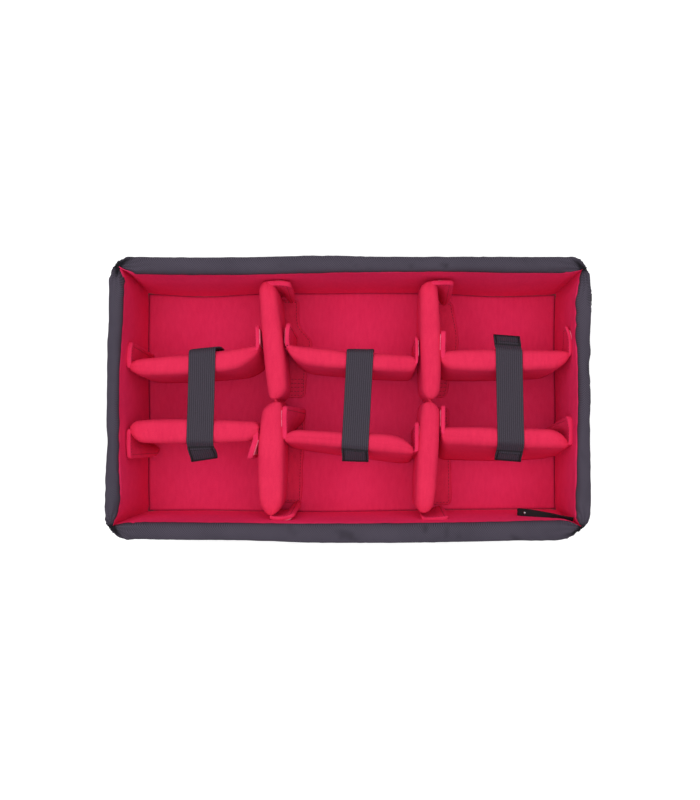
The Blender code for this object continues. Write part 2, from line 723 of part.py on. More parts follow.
def make_outer_loop():
    """The pull loop outside the right wall near the rear, hanging against the cover."""
    x = TRAY_LENGTH / 2 + FIT_GAP + LOOP_THICKNESS / 2 + LOOP_FOLD
    y = INNER_HALF_Y * OUTER_LOOP_PLACE_SHARE
    z = TRAY_HEIGHT - RIM_ROUND - OUTER_LOOP_TOP
    body = Body("outer_loop_swing", (x, y, z))
    points, faces = [], []
    path = loop_path(0, OUTER_LOOP_FALL, LOOP_FOLD)
    for across, down in path:
        points += [(x - across, y - LOOP_TAPE / 2, z - down), (x - across, y + LOOP_TAPE / 2, z - down)]
    for k in range(len(path) - 1):
        faces.append((2 * k, 2 * k + 1, 2 * k + 3, 2 * k + 2))
    loop = add_piece("outer_pull_loop", points, faces, black_tape("outer_loop_tape"), body, body.place)
    thicken(loop, LOOP_THICKNESS, 0)


def make_pair(bay, parent):
    """A bay's two short dividers and the strap that bridges them."""
    rear_body, rear_pad = make_short_divider(bay + "_rear", parent)
    _, front_pad = make_short_divider(bay + "_front", rear_body)
    make_strap(bay, rear_body, rear_pad, front_pad)


clear_scene()
parts = bpy.data.collections.new("padded_divider_insert")
bpy.context.scene.collection.children.link(parts)
make_tray()
left_long = make_long_divider("left_long")
right_long = make_long_divider("right_long")
make_pair("left", None)
make_pair("mid", left_long)
make_pair("right", right_long)
make_inner_loop()
make_outer_loop()
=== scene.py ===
import json
import math
from functools import partial

import bmesh
import bpy
import numpy as np
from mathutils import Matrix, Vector, noise


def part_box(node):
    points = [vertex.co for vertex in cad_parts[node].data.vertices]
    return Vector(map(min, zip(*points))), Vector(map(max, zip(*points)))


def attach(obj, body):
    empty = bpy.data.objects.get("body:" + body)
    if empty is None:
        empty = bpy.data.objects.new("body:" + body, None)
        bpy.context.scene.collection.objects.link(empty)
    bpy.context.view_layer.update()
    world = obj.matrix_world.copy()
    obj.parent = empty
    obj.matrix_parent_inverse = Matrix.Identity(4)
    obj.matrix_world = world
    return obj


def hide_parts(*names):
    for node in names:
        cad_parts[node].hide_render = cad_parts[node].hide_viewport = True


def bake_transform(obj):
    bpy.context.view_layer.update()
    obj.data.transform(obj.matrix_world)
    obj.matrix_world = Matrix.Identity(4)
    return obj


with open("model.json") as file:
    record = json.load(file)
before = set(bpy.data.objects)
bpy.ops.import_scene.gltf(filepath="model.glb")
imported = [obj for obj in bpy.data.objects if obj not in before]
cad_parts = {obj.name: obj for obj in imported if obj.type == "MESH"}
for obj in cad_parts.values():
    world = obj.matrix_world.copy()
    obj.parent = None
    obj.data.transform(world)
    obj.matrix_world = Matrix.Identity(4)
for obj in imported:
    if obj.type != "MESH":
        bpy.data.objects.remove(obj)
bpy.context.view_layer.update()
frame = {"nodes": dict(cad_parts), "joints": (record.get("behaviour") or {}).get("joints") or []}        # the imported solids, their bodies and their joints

# Padded divider insert: a soft open tray with two long and six short padded dividers.
# Metres, +Z up, origin at the middle of the base, front towards -Y.

mm = 0.001


# Camera: it looks straight down, above the one point that shows no side faces

cameraValues = {
    "place": (0.028, -0.028, 1.300),
    "lens": 49.9,
    "shift": (-0.0335, 0.0345),
}


def addCamera(values):
    data = bpy.data.cameras.new("camera")
    data.lens = values["lens"]
    data.shift_x, data.shift_y = values["shift"]
    camera = bpy.data.objects.new("camera", data)
    camera.location = values["place"]
    bpy.context.scene.collection.objects.link(camera)
    bpy.context.scene.camera = camera


# Light and floor

stageValues = {
    "softboxPlace": (-0.10, 0.12, 2.2),
    "softboxSize": 2.4,
    "softboxPower": 45.0,
    "skyStrength": 0.36,
    "floorSize": 8.0,
    "floorWhite": 0.80,
    "floorGlow": 0.55,
}


def backgroundMask(tree):
    # one where the camera, glass or metal sees the background itself, and not its light
    nodes, links = tree.nodes, tree.links
    path = nodes.new("ShaderNodeLightPath")
    total = path.outputs["Is Camera Ray"]
    for other in ("Is Glossy Ray", "Is Transmission Ray"):
        larger = nodes.new("ShaderNodeMath")
        larger.operation = "MAXIMUM"
        links.new(total, larger.inputs[0])
        links.new(path.outputs[other], larger.inputs[1])
        total = larger.outputs[0]
    return total


def addStage(values):
    scene = bpy.context.scene
    world = bpy.data.worlds.new("studio")
    scene.world = world
    world.use_nodes = True
    nodes, links = world.node_tree.nodes, world.node_tree.links
    strength = nodes.new("ShaderNodeMix")
    strength.inputs["A"].default_value = values["skyStrength"]
    strength.inputs["B"].default_value = 1.0
    links.new(backgroundMask(world.node_tree), strength.inputs["Factor"])
    links.new(strength.outputs["Result"], nodes["Background"].inputs["Strength"])
    nodes["Background"].inputs["Color"].default_value = (1, 1, 1, 1)

    lamp = bpy.data.lights.new("softbox", "AREA")
    lamp.size = values["softboxSize"]
    lamp.energy = values["softboxPower"]
    softbox = bpy.data.objects.new("softbox", lamp)
    softbox.location = values["softboxPlace"]
    softbox.rotation_euler = (-Vector(values["softboxPlace"])).to_track_quat("-Z", "Y").to_euler()
    scene.collection.objects.link(softbox)

    half = values["floorSize"] / 2
    mesh = bpy.data.meshes.new("studio_floor")
    corners = [(-half, -half, 0), (half, -half, 0), (half, half, 0), (-half, half, 0)]
    mesh.from_pydata(corners, [], [(0, 1, 2, 3)])
    floor = bpy.data.objects.new("studio_floor", mesh)
    scene.collection.objects.link(floor)
    material = bpy.data.materials.new("studio_floor_paint")
    material.use_nodes = True
    nodes, links = material.node_tree.nodes, material.node_tree.links
    paint = nodes["Principled BSDF"]
    paint.inputs["Base Color"].default_value = (values["floorWhite"],) * 3 + (1,)
    paint.inputs["Roughness"].default_value = 1.0
    paint.inputs["Specular IOR Level"].default_value = 0.0
    paint.inputs["Emission Color"].default_value = (1, 1, 1, 1)
    glow = nodes.new("ShaderNodeMath")
    glow.operation = "MULTIPLY"
    glow.inputs[1].default_value = values["floorGlow"]
    links.new(backgroundMask(material.node_tree), glow.inputs[0])
    links.new(glow.outputs[0], paint.inputs["Emission Strength"])
    mesh.materials.append(material)


scene = bpy.context.scene
scene.view_settings.view_transform = "Standard"
addCamera(cameraValues)
addStage(stageValues)
print("camera, light and floor are set")


# Shader groups: each gives a colour and a height that change over the surface

def newGroup(name, values, outputs={"Colour": "NodeSocketColor", "Height": "NodeSocketFloat"}):
    group = bpy.data.node_groups.new(name, "ShaderNodeTree")
    for label, value in values.items():
        kind = "NodeSocketColor" if isinstance(value, tuple) else "NodeSocketFloat"
        group.interface.new_socket(label, in_out="INPUT", socket_type=kind).default_value = value
    for label, kind in outputs.items():
        group.interface.new_socket(label, in_out="OUTPUT", socket_type=kind)
    return group, group.nodes.new("NodeGroupInput").outputs, group.nodes.new("NodeGroupOutput").inputs


def give(tree, socket, value):
    if isinstance(value, (int, float)):
        socket.default_value = value
    elif value is not None:
        tree.links.new(value, socket)


def mathNode(tree, operation, first, second=None):
    node = tree.nodes.new("ShaderNodeMath")
    node.operation = operation
    give(tree, node.inputs[0], first)
    give(tree, node.inputs[1], second)
    return node.outputs[0]


def mathIn(tree, *operations):
    # a function for each operation, which adds its node to the tree
    return [partial(mathNode, tree, operation) for operation in operations]


def noiseOf(tree, vector, scale, detail, roughness=0.5):
    node = tree.nodes.new("ShaderNodeTexNoise")
    node.inputs["Detail"].default_value = detail
    node.inputs["Roughness"].default_value = roughness
    tree.links.new(vector, node.inputs["Vector"])
    give(tree, node.inputs["Scale"], scale)
    return node.outputs["Fac"]


def mixColours(tree, factor, first, second):
    node = tree.nodes.new("ShaderNodeMix")
    node.data_type = "RGBA"
    for label, socket in (("Factor", factor), ("A", first), ("B", second)):
        tree.links.new(socket, node.inputs[label])
    return node.outputs["Result"]


def dotNode(tree, vector, direction):
    node = tree.nodes.new("ShaderNodeVectorMath")
    node.operation = "DOT_PRODUCT"
    tree.links.new(vector, node.inputs[0])
    node.inputs[1].default_value = direction
    return node.outputs["Value"]


def finishGroup(group, result, share, dark, light, height):
    # the colour lies between dark and light by the share, held between 0 and 1
    held = group.nodes.new("ShaderNodeClamp")
    group.links.new(share, held.inputs["Value"])
    group.links.new(mixColours(group, held.outputs[0], dark, light), result["Colour"])
    group.links.new(height, result["Height"])
    return group


pileValues = {
    "fuzzRoughness": 0.65,
    "napStretch": (1.0, 0.3, 0.3),
    "napScale": 0.22,               # beside the fuzz
    "shares": (0.5, 0.25, 0.25),    # of fuzz, nap strokes and blotches in the colour
    "contrast": 3.0,
    "level": 0.72,
    "heights": (0.7, 0.3),          # of fuzz and nap strokes
}


def makePileGroup(values):
    # brushed loop cloth: fine fuzz, strokes of the nap and soft blotches
    group, given, result = newGroup("brushed_pile", {
        "Colour": (1, 1, 1, 1), "Deep Colour": (0, 0, 0, 1), "Fuzz Size": 0.0007, "Blotch Size": 0.03,
        "Variation": 0.5})
    add, less, times, over = mathIn(group, "ADD", "SUBTRACT", "MULTIPLY", "DIVIDE")
    place = group.nodes.new("ShaderNodeTexCoord").outputs["Object"]
    fuzz = noiseOf(group, place, over(1.0, given["Fuzz Size"]), 3, values["fuzzRoughness"])
    stretch = group.nodes.new("ShaderNodeMapping")
    stretch.inputs["Scale"].default_value = values["napStretch"]
    group.links.new(place, stretch.inputs["Vector"])
    nap = noiseOf(group, stretch.outputs["Vector"], over(values["napScale"], given["Fuzz Size"]), 2)
    blotch = noiseOf(group, place, over(1.0, given["Blotch Size"]), 2)
    parts = [times(field, share) for field, share in zip((fuzz, nap, blotch), values["shares"])]
    spread = times(less(add(add(parts[0], parts[1]), parts[2]), 0.5), given["Variation"])
    share = add(times(spread, values["contrast"]), values["level"])
    height = add(*[times(field, share) for field, share in zip((fuzz, nap), values["heights"])])
    return finishGroup(group, result, share, given["Deep Colour"], given["Colour"], height)


twillValues = {
    "ribAlong": (1.0, 1.0, 1.0),
    "weftAlong": (1.0, -1.0, -0.9),
    "ribs": 0.28,
    "weft": 0.2,
    "wobble": 2.2,
    "wobbleScale": 160.0,
    "grainScale": 1400.0,
    "grainHeight": 0.3,
    "level": 0.05,
}


def makeTwillGroup(values):
    # diagonal ribs that cross a finer weft, with worn, paler crowns in patches
    group, given, result = newGroup("twill_weave", {
        "Colour": (1, 1, 1, 1), "Groove Colour": (0, 0, 0, 1), "Pitch": 0.0022, "Patch Size": 0.05})
    add, times, over, sine = mathIn(group, "ADD", "MULTIPLY", "DIVIDE", "SINE")
    place = group.nodes.new("ShaderNodeTexCoord").outputs["Object"]
    turns = over(2 * math.pi, given["Pitch"])
    wobble = times(noiseOf(group, place, values["wobbleScale"], 1), values["wobble"])
    ribs = sine(add(times(dotNode(group, place, values["ribAlong"]), turns), wobble))
    weft = sine(times(dotNode(group, place, values["weftAlong"]), turns))
    weave = add(times(ribs, values["ribs"]), times(weft, values["weft"]))
    grain = noiseOf(group, place, values["grainScale"], 2)
    patches = noiseOf(group, place, over(1.0, given["Patch Size"]), 3)
    share = add(weave, add(add(times(grain, 0.5), times(patches, 0.5)), values["level"]))
    height = add(weave, times(grain, values["grainHeight"]))
    return finishGroup(group, result, share, given["Groove Colour"], given["Colour"], height)


ribValues = {
    "crown": 0.6,               # the power that rounds a rib
    "pick": 0.16,
    "speckleScale": 900.0,
    "speckle": 0.8,
    "shade": 0.75,
}


def makeRibGroup(values):
    # lengthwise ribs of webbing; the map's U runs across the tape and V along it, in metres
    group, given, result = newGroup("ribbed_webbing", {
        "Colour": (1, 1, 1, 1), "Groove Colour": (0, 0, 0, 1), "Rib Pitch": 0.0022, "Pick Pitch": 0.0009})
    add, less, times, over, sine = mathIn(group, "ADD", "SUBTRACT", "MULTIPLY", "DIVIDE", "SINE")
    plain, floor, power = mathIn(group, "ABSOLUTE", "FLOOR", "POWER")
    weaveMap = group.nodes.new("ShaderNodeTexCoord").outputs["UV"]
    apart = group.nodes.new("ShaderNodeSeparateXYZ")
    group.links.new(weaveMap, apart.inputs[0])
    across = over(apart.outputs["X"], given["Rib Pitch"])
    crown = plain(sine(times(across, math.pi)))
    picks = times(over(apart.outputs["Y"], given["Pick Pitch"]), 2 * math.pi)
    pick = sine(add(picks, times(floor(across), math.pi)))
    height = add(power(crown, values["crown"]), times(pick, values["pick"]))
    speckle = less(noiseOf(group, weaveMap, values["speckleScale"], 2), 0.5)
    share = add(times(height, values["shade"]), times(speckle, values["speckle"]))
    return finishGroup(group, result, share, given["Groove Colour"], given["Colour"], height)


def makePaintedShadeGroup():
    # painted shade: darkens a cloth where its mask says that a fold or slit keeps the light out
    group, given, result = newGroup("dark_fold", {
        "Colour": (1, 1, 1, 1), "Shade Colour": (0, 0, 0, 1), "Mask": 0.0}, {"Colour": "NodeSocketColor"})
    colour = mixColours(group, given["Mask"], given["Colour"], given["Shade Colour"])
    group.links.new(colour, result["Colour"])
    return group


paintedShadeGroup = makePaintedShadeGroup()
pileGroup = makePileGroup(pileValues)
twillGroup = makeTwillGroup(twillValues)
ribGroup = makeRibGroup(ribValues)


# Materials

def paint(red, green, blue):
    # a screen colour, 0 to 255, as the linear colour that Blender mixes with
    linear = []
    for value in (red, green, blue):
        value /= 255
        linear.append(value / 12.92 if value <= 0.04045 else ((value + 0.055) / 1.055) ** 2.4)
    return (*linear, 1.0)


velvetTint = paint(252, 48, 112)

# the colours under the key shade are painted shade, which a mesh's mask lays into its folds and slits
clothValues = {
    # painted light: the lining is the dividers' red loop cloth, painted lighter and bluer for its walls and
    # floor, which lie in the tray's shade
    "lining_pile": {"group": pileGroup, "Colour": paint(240, 56, 108), "Deep Colour": paint(218, 34, 84),
                    "Fuzz Size": 0.0008, "Blotch Size": 0.05, "Variation": 0.9, "shade": paint(126, 6, 38),
                    "roughness": 1.0, "shine": 0.05, "sheen": 0.42, "tint": velvetTint,
                    "bump": 0.25, "depth": 0.00025},
    "divider_pile": {"group": pileGroup, "Colour": paint(231, 51, 88), "Deep Colour": paint(205, 32, 72),
                     "Fuzz Size": 0.0007, "Blotch Size": 0.03, "Variation": 0.8,
                     "roughness": 1.0, "shine": 0.05, "sheen": 0.36, "tint": velvetTint,
                     "bump": 0.25, "depth": 0.00025},
    "flap_pile": {"group": pileGroup, "Colour": paint(234, 52, 96), "Deep Colour": paint(204, 30, 74),
                  "Fuzz Size": 0.0007, "Blotch Size": 0.02, "Variation": 1.0,
                  "roughness": 1.0, "shine": 0.05, "sheen": 0.36, "tint": velvetTint,
                  "bump": 0.3, "depth": 0.00025},
    "hook_tape_weave": {"group": pileGroup, "Colour": paint(242, 122, 152), "Deep Colour": paint(204, 44, 86),
                        "Fuzz Size": 0.0011, "Blotch Size": 0.01, "Variation": 1.4,
                        "roughness": 0.7, "shine": 0.2, "sheen": 0.1, "bump": 0.6, "depth": 0.0005},
    "cover_twill": {"group": twillGroup, "Colour": paint(82, 75, 88), "Groove Colour": paint(46, 42, 52),
                    "Pitch": 0.0024, "Patch Size": 0.045, "shade": paint(20, 18, 24),
                    "roughness": 0.75, "shine": 0.15, "sheen": 0.05, "bump": 0.35, "depth": 0.0003},
    "strap_webbing": {"group": ribGroup, "Colour": paint(69, 62, 74), "Groove Colour": paint(31, 28, 35),
                      "Rib Pitch": 0.0022, "Pick Pitch": 0.0010, "shade": paint(12, 11, 14),
                      "roughness": 0.6, "shine": 0.2, "sheen": 0.08, "bump": 0.6, "depth": 0.0005},
    "loop_tape": {"group": ribGroup, "Colour": paint(25, 23, 28), "Groove Colour": paint(8, 7, 10),
                  "Rib Pitch": 0.0013, "Pick Pitch": 0.0007,
                  "roughness": 0.55, "shine": 0.25, "sheen": 0.05, "bump": 0.5, "depth": 0.0004},
    "hook_patch_tape": {"group": pileGroup, "Colour": paint(48, 45, 52), "Deep Colour": paint(16, 15, 19),
                        "Fuzz Size": 0.0011, "Blotch Size": 0.01, "Variation": 1.2,
                        "roughness": 0.6, "shine": 0.2, "sheen": 0.05, "bump": 0.7, "depth": 0.0005},
    "red_thread": {"group": pileGroup, "Colour": paint(158, 18, 48), "Deep Colour": paint(100, 7, 28),
                   "Fuzz Size": 0.0004, "Blotch Size": 0.005, "Variation": 0.8,
                   "roughness": 0.6, "shine": 0.2, "sheen": 0.1, "bump": 0.3, "depth": 0.0001},
    "charcoal_thread": {"group": pileGroup, "Colour": paint(24, 22, 27), "Deep Colour": paint(9, 8, 11),
                        "Fuzz Size": 0.0004, "Blotch Size": 0.005, "Variation": 0.8,
                        "roughness": 0.5, "shine": 0.2, "sheen": 0.1, "bump": 0.3, "depth": 0.0001},
    "foam_cells": {"group": pileGroup, "Colour": paint(112, 110, 114), "Deep Colour": paint(66, 65, 69),
                   "Fuzz Size": 0.0012, "Blotch Size": 0.02, "Variation": 1.2,
                   "roughness": 1.0, "shine": 0.05, "sheen": 0.0, "bump": 0.8, "depth": 0.0006},
}


def makeCloth(name, values):
    material = bpy.data.materials.new(name)
    material.use_nodes = True
    tree = material.node_tree
    shader = tree.nodes["Principled BSDF"]
    pattern = tree.nodes.new("ShaderNodeGroup")
    pattern.node_tree = values["group"]
    for label in pattern.inputs.keys():
        pattern.inputs[label].default_value = values[label]
    bump = tree.nodes.new("ShaderNodeBump")
    bump.inputs["Strength"].default_value = values["bump"]
    bump.inputs["Distance"].default_value = values["depth"]
    colour = pattern.outputs["Colour"]
    if "shade" in values:
        # painted shade: the mesh says where a fold or slit keeps its cloth in shade
        mask = tree.nodes.new("ShaderNodeAttribute")
        mask.attribute_name = "foldShade"
        darkened = tree.nodes.new("ShaderNodeGroup")
        darkened.node_tree = paintedShadeGroup
        darkened.inputs["Shade Colour"].default_value = values["shade"]
        tree.links.new(mask.outputs["Fac"], darkened.inputs["Mask"])
        tree.links.new(colour, darkened.inputs["Colour"])
        colour = darkened.outputs["Colour"]
    tree.links.new(colour, shader.inputs["Base Color"])
    tree.links.new(pattern.outputs["Height"], bump.inputs["Height"])
    tree.links.new(bump.outputs["Normal"], shader.inputs["Normal"])
    shader.inputs["Roughness"].default_value = values["roughness"]
    shader.inputs["Specular IOR Level"].default_value = values["shine"]
    shader.inputs["Sheen Weight"].default_value = values["sheen"]
    shader.inputs["Sheen Roughness"].default_value = 0.5
    shader.inputs["Sheen Tint"].default_value = values.get("tint", values["Colour"])
    return material


rivetValues = {
    "dull": paint(120, 122, 130),
    "bright": paint(214, 216, 222),
    "scratchScale": 900.0,
    "roughness": (0.15, 0.3),   # at least, and added by the scratches
}


def makeRivetMetal(values):
    # a nickel-plated rivet, scratched and a little dull in patches
    material = bpy.data.materials.new("rivet_nickel")
    material.use_nodes = True
    tree = material.node_tree
    shader = tree.nodes["Principled BSDF"]
    place = tree.nodes.new("ShaderNodeTexCoord").outputs["Object"]
    ramp = tree.nodes.new("ShaderNodeValToRGB")
    ramp.color_ramp.elements[0].color = values["dull"]
    ramp.color_ramp.elements[1].color = values["bright"]
    scratches = noiseOf(tree, place, values["scratchScale"], 4)
    tree.links.new(scratches, ramp.inputs["Fac"])
    tree.links.new(ramp.outputs["Color"], shader.inputs["Base Color"])
    add, times = mathIn(tree, "ADD", "MULTIPLY")
    least, added = values["roughness"]
    tree.links.new(add(times(scratches, added), least), shader.inputs["Roughness"])
    shader.inputs["Metallic"].default_value = 1.0
    return material


cloths = {name: makeCloth(name, values) for name, values in clothValues.items()}
rivetMetal = makeRivetMetal(rivetValues)
print("materials made:", len(cloths) + 1)


# Meshes

def gridFaces(rows, columns, around=False, flip=False):
    faces = []
    for i in range(rows - 1):
        for j in range(columns if around else columns - 1):
            k = (j + 1) % columns
            face = (i * columns + j, i * columns + k, (i + 1) * columns + k, (i + 1) * columns + j)
            faces.append(face[::-1] if flip else face)
    return faces


def meshPiece(name, points, faces, cloth, maps=None):
    mesh = bpy.data.meshes.new(name)
    mesh.from_pydata([tuple(point) for point in points], [], faces)
    mesh.validate()
    mesh.materials.append(cloth)
    if maps is not None:
        layer = mesh.uv_layers.new(name="weave")
        for loop in mesh.loops:
            layer.data[loop.index].uv = maps[loop.vertex_index]
    mesh.shade_smooth()
    piece = bpy.data.objects.new(name, mesh)
    bpy.context.scene.collection.objects.link(piece)
    return piece


def tubePiece(name, rings, cloth, maps=None, turnCaps=False):
    # a closed body from the rings round it, with a cap at each end
    grid = np.array(rings)
    rows, size = grid.shape[:2]
    caps = [tuple(range(size))[::-1], tuple(range((rows - 1) * size, rows * size))]
    faces = gridFaces(rows, size, around=True) + [cap[::-1] if turnCaps else cap for cap in caps]
    return meshPiece(name, grid.reshape(-1, 3), faces, cloth, maps)


def editMesh(piece, join=None, dissolve=None, turn=False):
    # merges near points, drops edges and faces of no size, and turns all faces outward
    shape = bmesh.new()
    shape.from_mesh(piece.data)
    if join:
        bmesh.ops.remove_doubles(shape, verts=shape.verts, dist=join)
    if dissolve:
        bmesh.ops.dissolve_degenerate(shape, edges=shape.edges, dist=dissolve)
    if turn:
        bmesh.ops.recalc_face_normals(shape, faces=shape.faces)
    shape.to_mesh(piece.data)
    shape.free()


def tidyMesh(piece, join=0.05 * mm):
    editMesh(piece, join, join / 5, turn=True)
    piece.data.shade_smooth()


def thicken(piece, thickness):
    shell = piece.modifiers.new("thickness", "SOLIDIFY")
    shell.thickness = thickness
    shell.offset = -1.0


def shadeFolds(piece, shades):
    # painted shade: how deep each point lies in the shade of its fold, from 0 to 1, for the cloth's material
    layer = piece.data.attributes.new("foldShade", "FLOAT", "POINT")
    layer.data.foreach_set("value", np.clip(np.array(shades, dtype=np.float32), 0, 1))


def place(piece, body, slot, *nodes):
    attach(piece, body)
    if nodes:
        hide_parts(*nodes)
    return piece


def ripple(x, y, z, size, seed=0.0):
    # smooth noise from -1 to 1 whose waves are about size long
    return noise.noise(Vector((x / size + seed, y / size, z / size)))


def smooth(share):
    share = min(max(share, 0.0), 1.0)
    return share * share * (3 - 2 * share)


def ramp(at, start, over):
    # from 0 to 1 past a place, both given in mm
    return smooth((at - start * mm) / (over * mm))


def crowded(share, crowding):
    # evenly spaced shares, moved closer together near both ends
    return share - crowding * np.sin(2 * math.pi * share) / (2 * math.pi)


def mixed(first, second, share):
    return first + (second - first) * share


def curveThrough(values, share):
    # a smooth line through evenly spaced values
    last = len(values) - 1
    at = min(max(share, 0.0), 1.0) * last
    k = min(int(at), last - 1)
    t = at - k
    before, after = values[max(k - 1, 0)], values[min(k + 2, last)]
    first, second = values[k], values[k + 1]
    return 0.5 * (2 * first + (second - before) * t
                  + (2 * before - 5 * first + 4 * second - after) * t * t
                  + (3 * first - before - 3 * second + after) * t * t * t)


threadValues = {"length": 2.6, "gap": 1.1, "radius": 0.34, "sides": 6}


def makeStitches(name, lines, cloth, body, slot, values=threadValues):
    # raised stitches along lines of points; every stitch dips into the cloth at both its ends
    points, faces = [], []
    sides = values["sides"]
    for line in lines:
        line = [Vector(p) for p in line]
        steps = [(b - a).length for a, b in zip(line, line[1:])]
        total = sum(steps)
        pitch = (values["length"] + values["gap"]) * mm
        count = max(1, int(total / pitch))
        marks = np.concatenate([[0], np.cumsum(steps)])
        spread = [[p[axis] for p in line] for axis in range(3)]
        for k in range(count):
            first = (k + 0.5) * total / count - values["length"] * mm / 2
            centres = []
            for share in (0.0, 0.3, 0.7, 1.0):
                at = first + share * values["length"] * mm
                centres.append(Vector([float(np.interp(at, marks, axis)) for axis in spread]))
            ahead = (centres[-1] - centres[0]).normalized()
            aside = ahead.orthogonal().normalized()
            above = ahead.cross(aside)
            base = len(points)
            for centre, size in zip(centres, (0.35, 1.0, 1.0, 0.35)):
                for s in range(sides):
                    turn = 2 * math.pi * s / sides
                    reach = (aside * math.cos(turn) + above * math.sin(turn)) * values["radius"] * mm * size
                    points.append(tuple(centre + reach))
            faces += [tuple(base + i for i in face) for face in gridFaces(4, sides, around=True)]
            faces.append(tuple(base + s for s in range(sides))[::-1])
            faces.append(tuple(base + 3 * sides + s for s in range(sides)))
    stitches = meshPiece(name, points, faces, cloth)
    tidyMesh(stitches, 0.00001)
    return place(stitches, body, slot)


# Tray: outlines run round from the front left corner over front, right, rear and left

sideNames = ("front", "right", "rear", "left")

trayValues = {
    "sidePoints": (170, 110),
    "cornerCrowding": 0.72,
    # side lines: front, right, rear, left. Corners and their reaches along X and Y:
    # front left, front right, rear right, rear left. Waves: outward, evenly spaced along each side
    "rimOuter": {
        "lines": (-146.4, 250.0, 150.0, -253.2),
        "corners": ((-248.2, -135.8), (240.6, -133.2), (247.3, 139.2), (-244.5, 142.2)),
        "reaches": ((17, 14), (26, 15), (19, 24), (18, 22)),
        "curves": (1.9, 1.9, 1.9, 1.9),
        "waves": ((-1.9, -1.0, -0.5, 1.7, 1.9, 1.2, -0.1, -0.5), (0, 0.4, 0.3, 0.2, 0.4, -0.3, 1.0, 0.8),
                  (0, 0.2, 0.3, 0.2, 1.5, 0, -0.1, 0.2), (-2.0, -2.2, -0.5, 0.1, 0.4, 0.2, 1.3, 2.2)),
    },
    "rimInner": {
        "lines": (-127.4, 237.4, 133.2, -239.5),
        "corners": ((-247.6, -130.8), (241.2, -131.0), (242.0, 136.2), (-240.6, 139.9)),
        "reaches": ((20, 38), (24, 11), (16, 36), (18, 15)),
        "curves": (1.9, 1.9, 1.9, 1.1),
        "waves": ((0, 0.2, 0.6, 0.4, 0.6, 0.0, -1.4, -3.6), (-1.8, -1.3, -0.7, 0.4, 0.7, -1.1, -1.7, -1.4),
                  (0.4, 0.7, 1.9, 1.0, 0.5, -1.3, -0.7, -0.6), (-4.3, -2.6, -0.8, 1.6, 1.8, 1.6, 0.3, -0.7)),
    },
    "foot": {
        "lines": (-148.0, 250.0, 148.0, -250.0),
        "corners": ((-241.0, -141.0), (241.0, -141.0), (241.0, 141.0), (-241.0, 141.0)),
        "reaches": ((18, 15), (18, 15), (18, 15), (18, 15)),
        "curves": (1.9, 1.9, 1.9, 1.9),
        "waves": ((0, 0, 0),) * 4,
    },
    "floorLine": {
        "lines": (-125.2, 236.2, 127.4, -237.6),
        "corners": ((-237.6, -125.2), (236.2, -123.2), (236.0, 127.0), (-237.6, 128.0)),
        "reaches": ((8, 8), (8, 8), (8, 8), (8, 8)),
        "curves": (1.9, 1.9, 1.9, 1.9),
        "waves": ((0, -0.4, 0.8, 1.6, 0.6, -0.8, -1.6, -2.0), (0, -0.4, -0.4, 0.2, -0.2, -1.0, -0.8, 0),
                  (-0.5, -2.4, 0.8, 1.8, 1.2, 1.0, -2.6, 0.5), (0, 0.4, 0.8, 0.2, -0.2, 0.4, 0.6, 0)),
    },
    "rimRise": 7.0,
    "solidLining": 1.0,
}

coverLow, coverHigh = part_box("side_cover")
rimTop = coverHigh.z
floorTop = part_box("lining")[0].z + trayValues["solidLining"] * mm


def traySpec(name):
    spec = trayValues[name]
    return {key: spec[key] if key == "waves" else np.array(spec[key], float) for key in spec}


def outlineOf(lower, upper=None, share=0.0, cornerShare=0.0):
    values = dict(lower)
    if upper is not None:
        values["lines"] = mixed(lower["lines"], upper["lines"], share)
        values["corners"] = mixed(lower["corners"], upper["corners"], cornerShare)
        values["reaches"] = mixed(lower["reaches"], upper["reaches"], cornerShare)
    ring = []
    for side in range(4):
        first, last = side, (side + 1) % 4
        run, across = (0, 1) if side % 2 == 0 else (1, 0)
        outward = -1 if side in (0, 3) else 1
        start, end = values["corners"][first], values["corners"][last]
        plain = np.linspace(0, 1, trayValues["sidePoints"][side % 2], endpoint=False)
        for t in crowded(plain, trayValues["cornerCrowding"]):
            at = mixed(start[run], end[run], t)
            pulls = []
            for corner, number in ((start, first), (end, last)):
                near = max(0.0, 1 - abs(at - corner[run]) / values["reaches"][number][run])
                pulls.append(near ** lower["curves"][number])
            waves = curveThrough(lower["waves"][side], t)
            if upper is not None:
                waves = mixed(waves, curveThrough(upper["waves"][side], t), share)
            line = values["lines"][side] + outward * waves
            to = line + (start[across] - line) * pulls[0] + (end[across] - line) * pulls[1]
            ring.append((at * mm, to * mm) if run == 0 else (to * mm, at * mm))
    return np.array(ring)


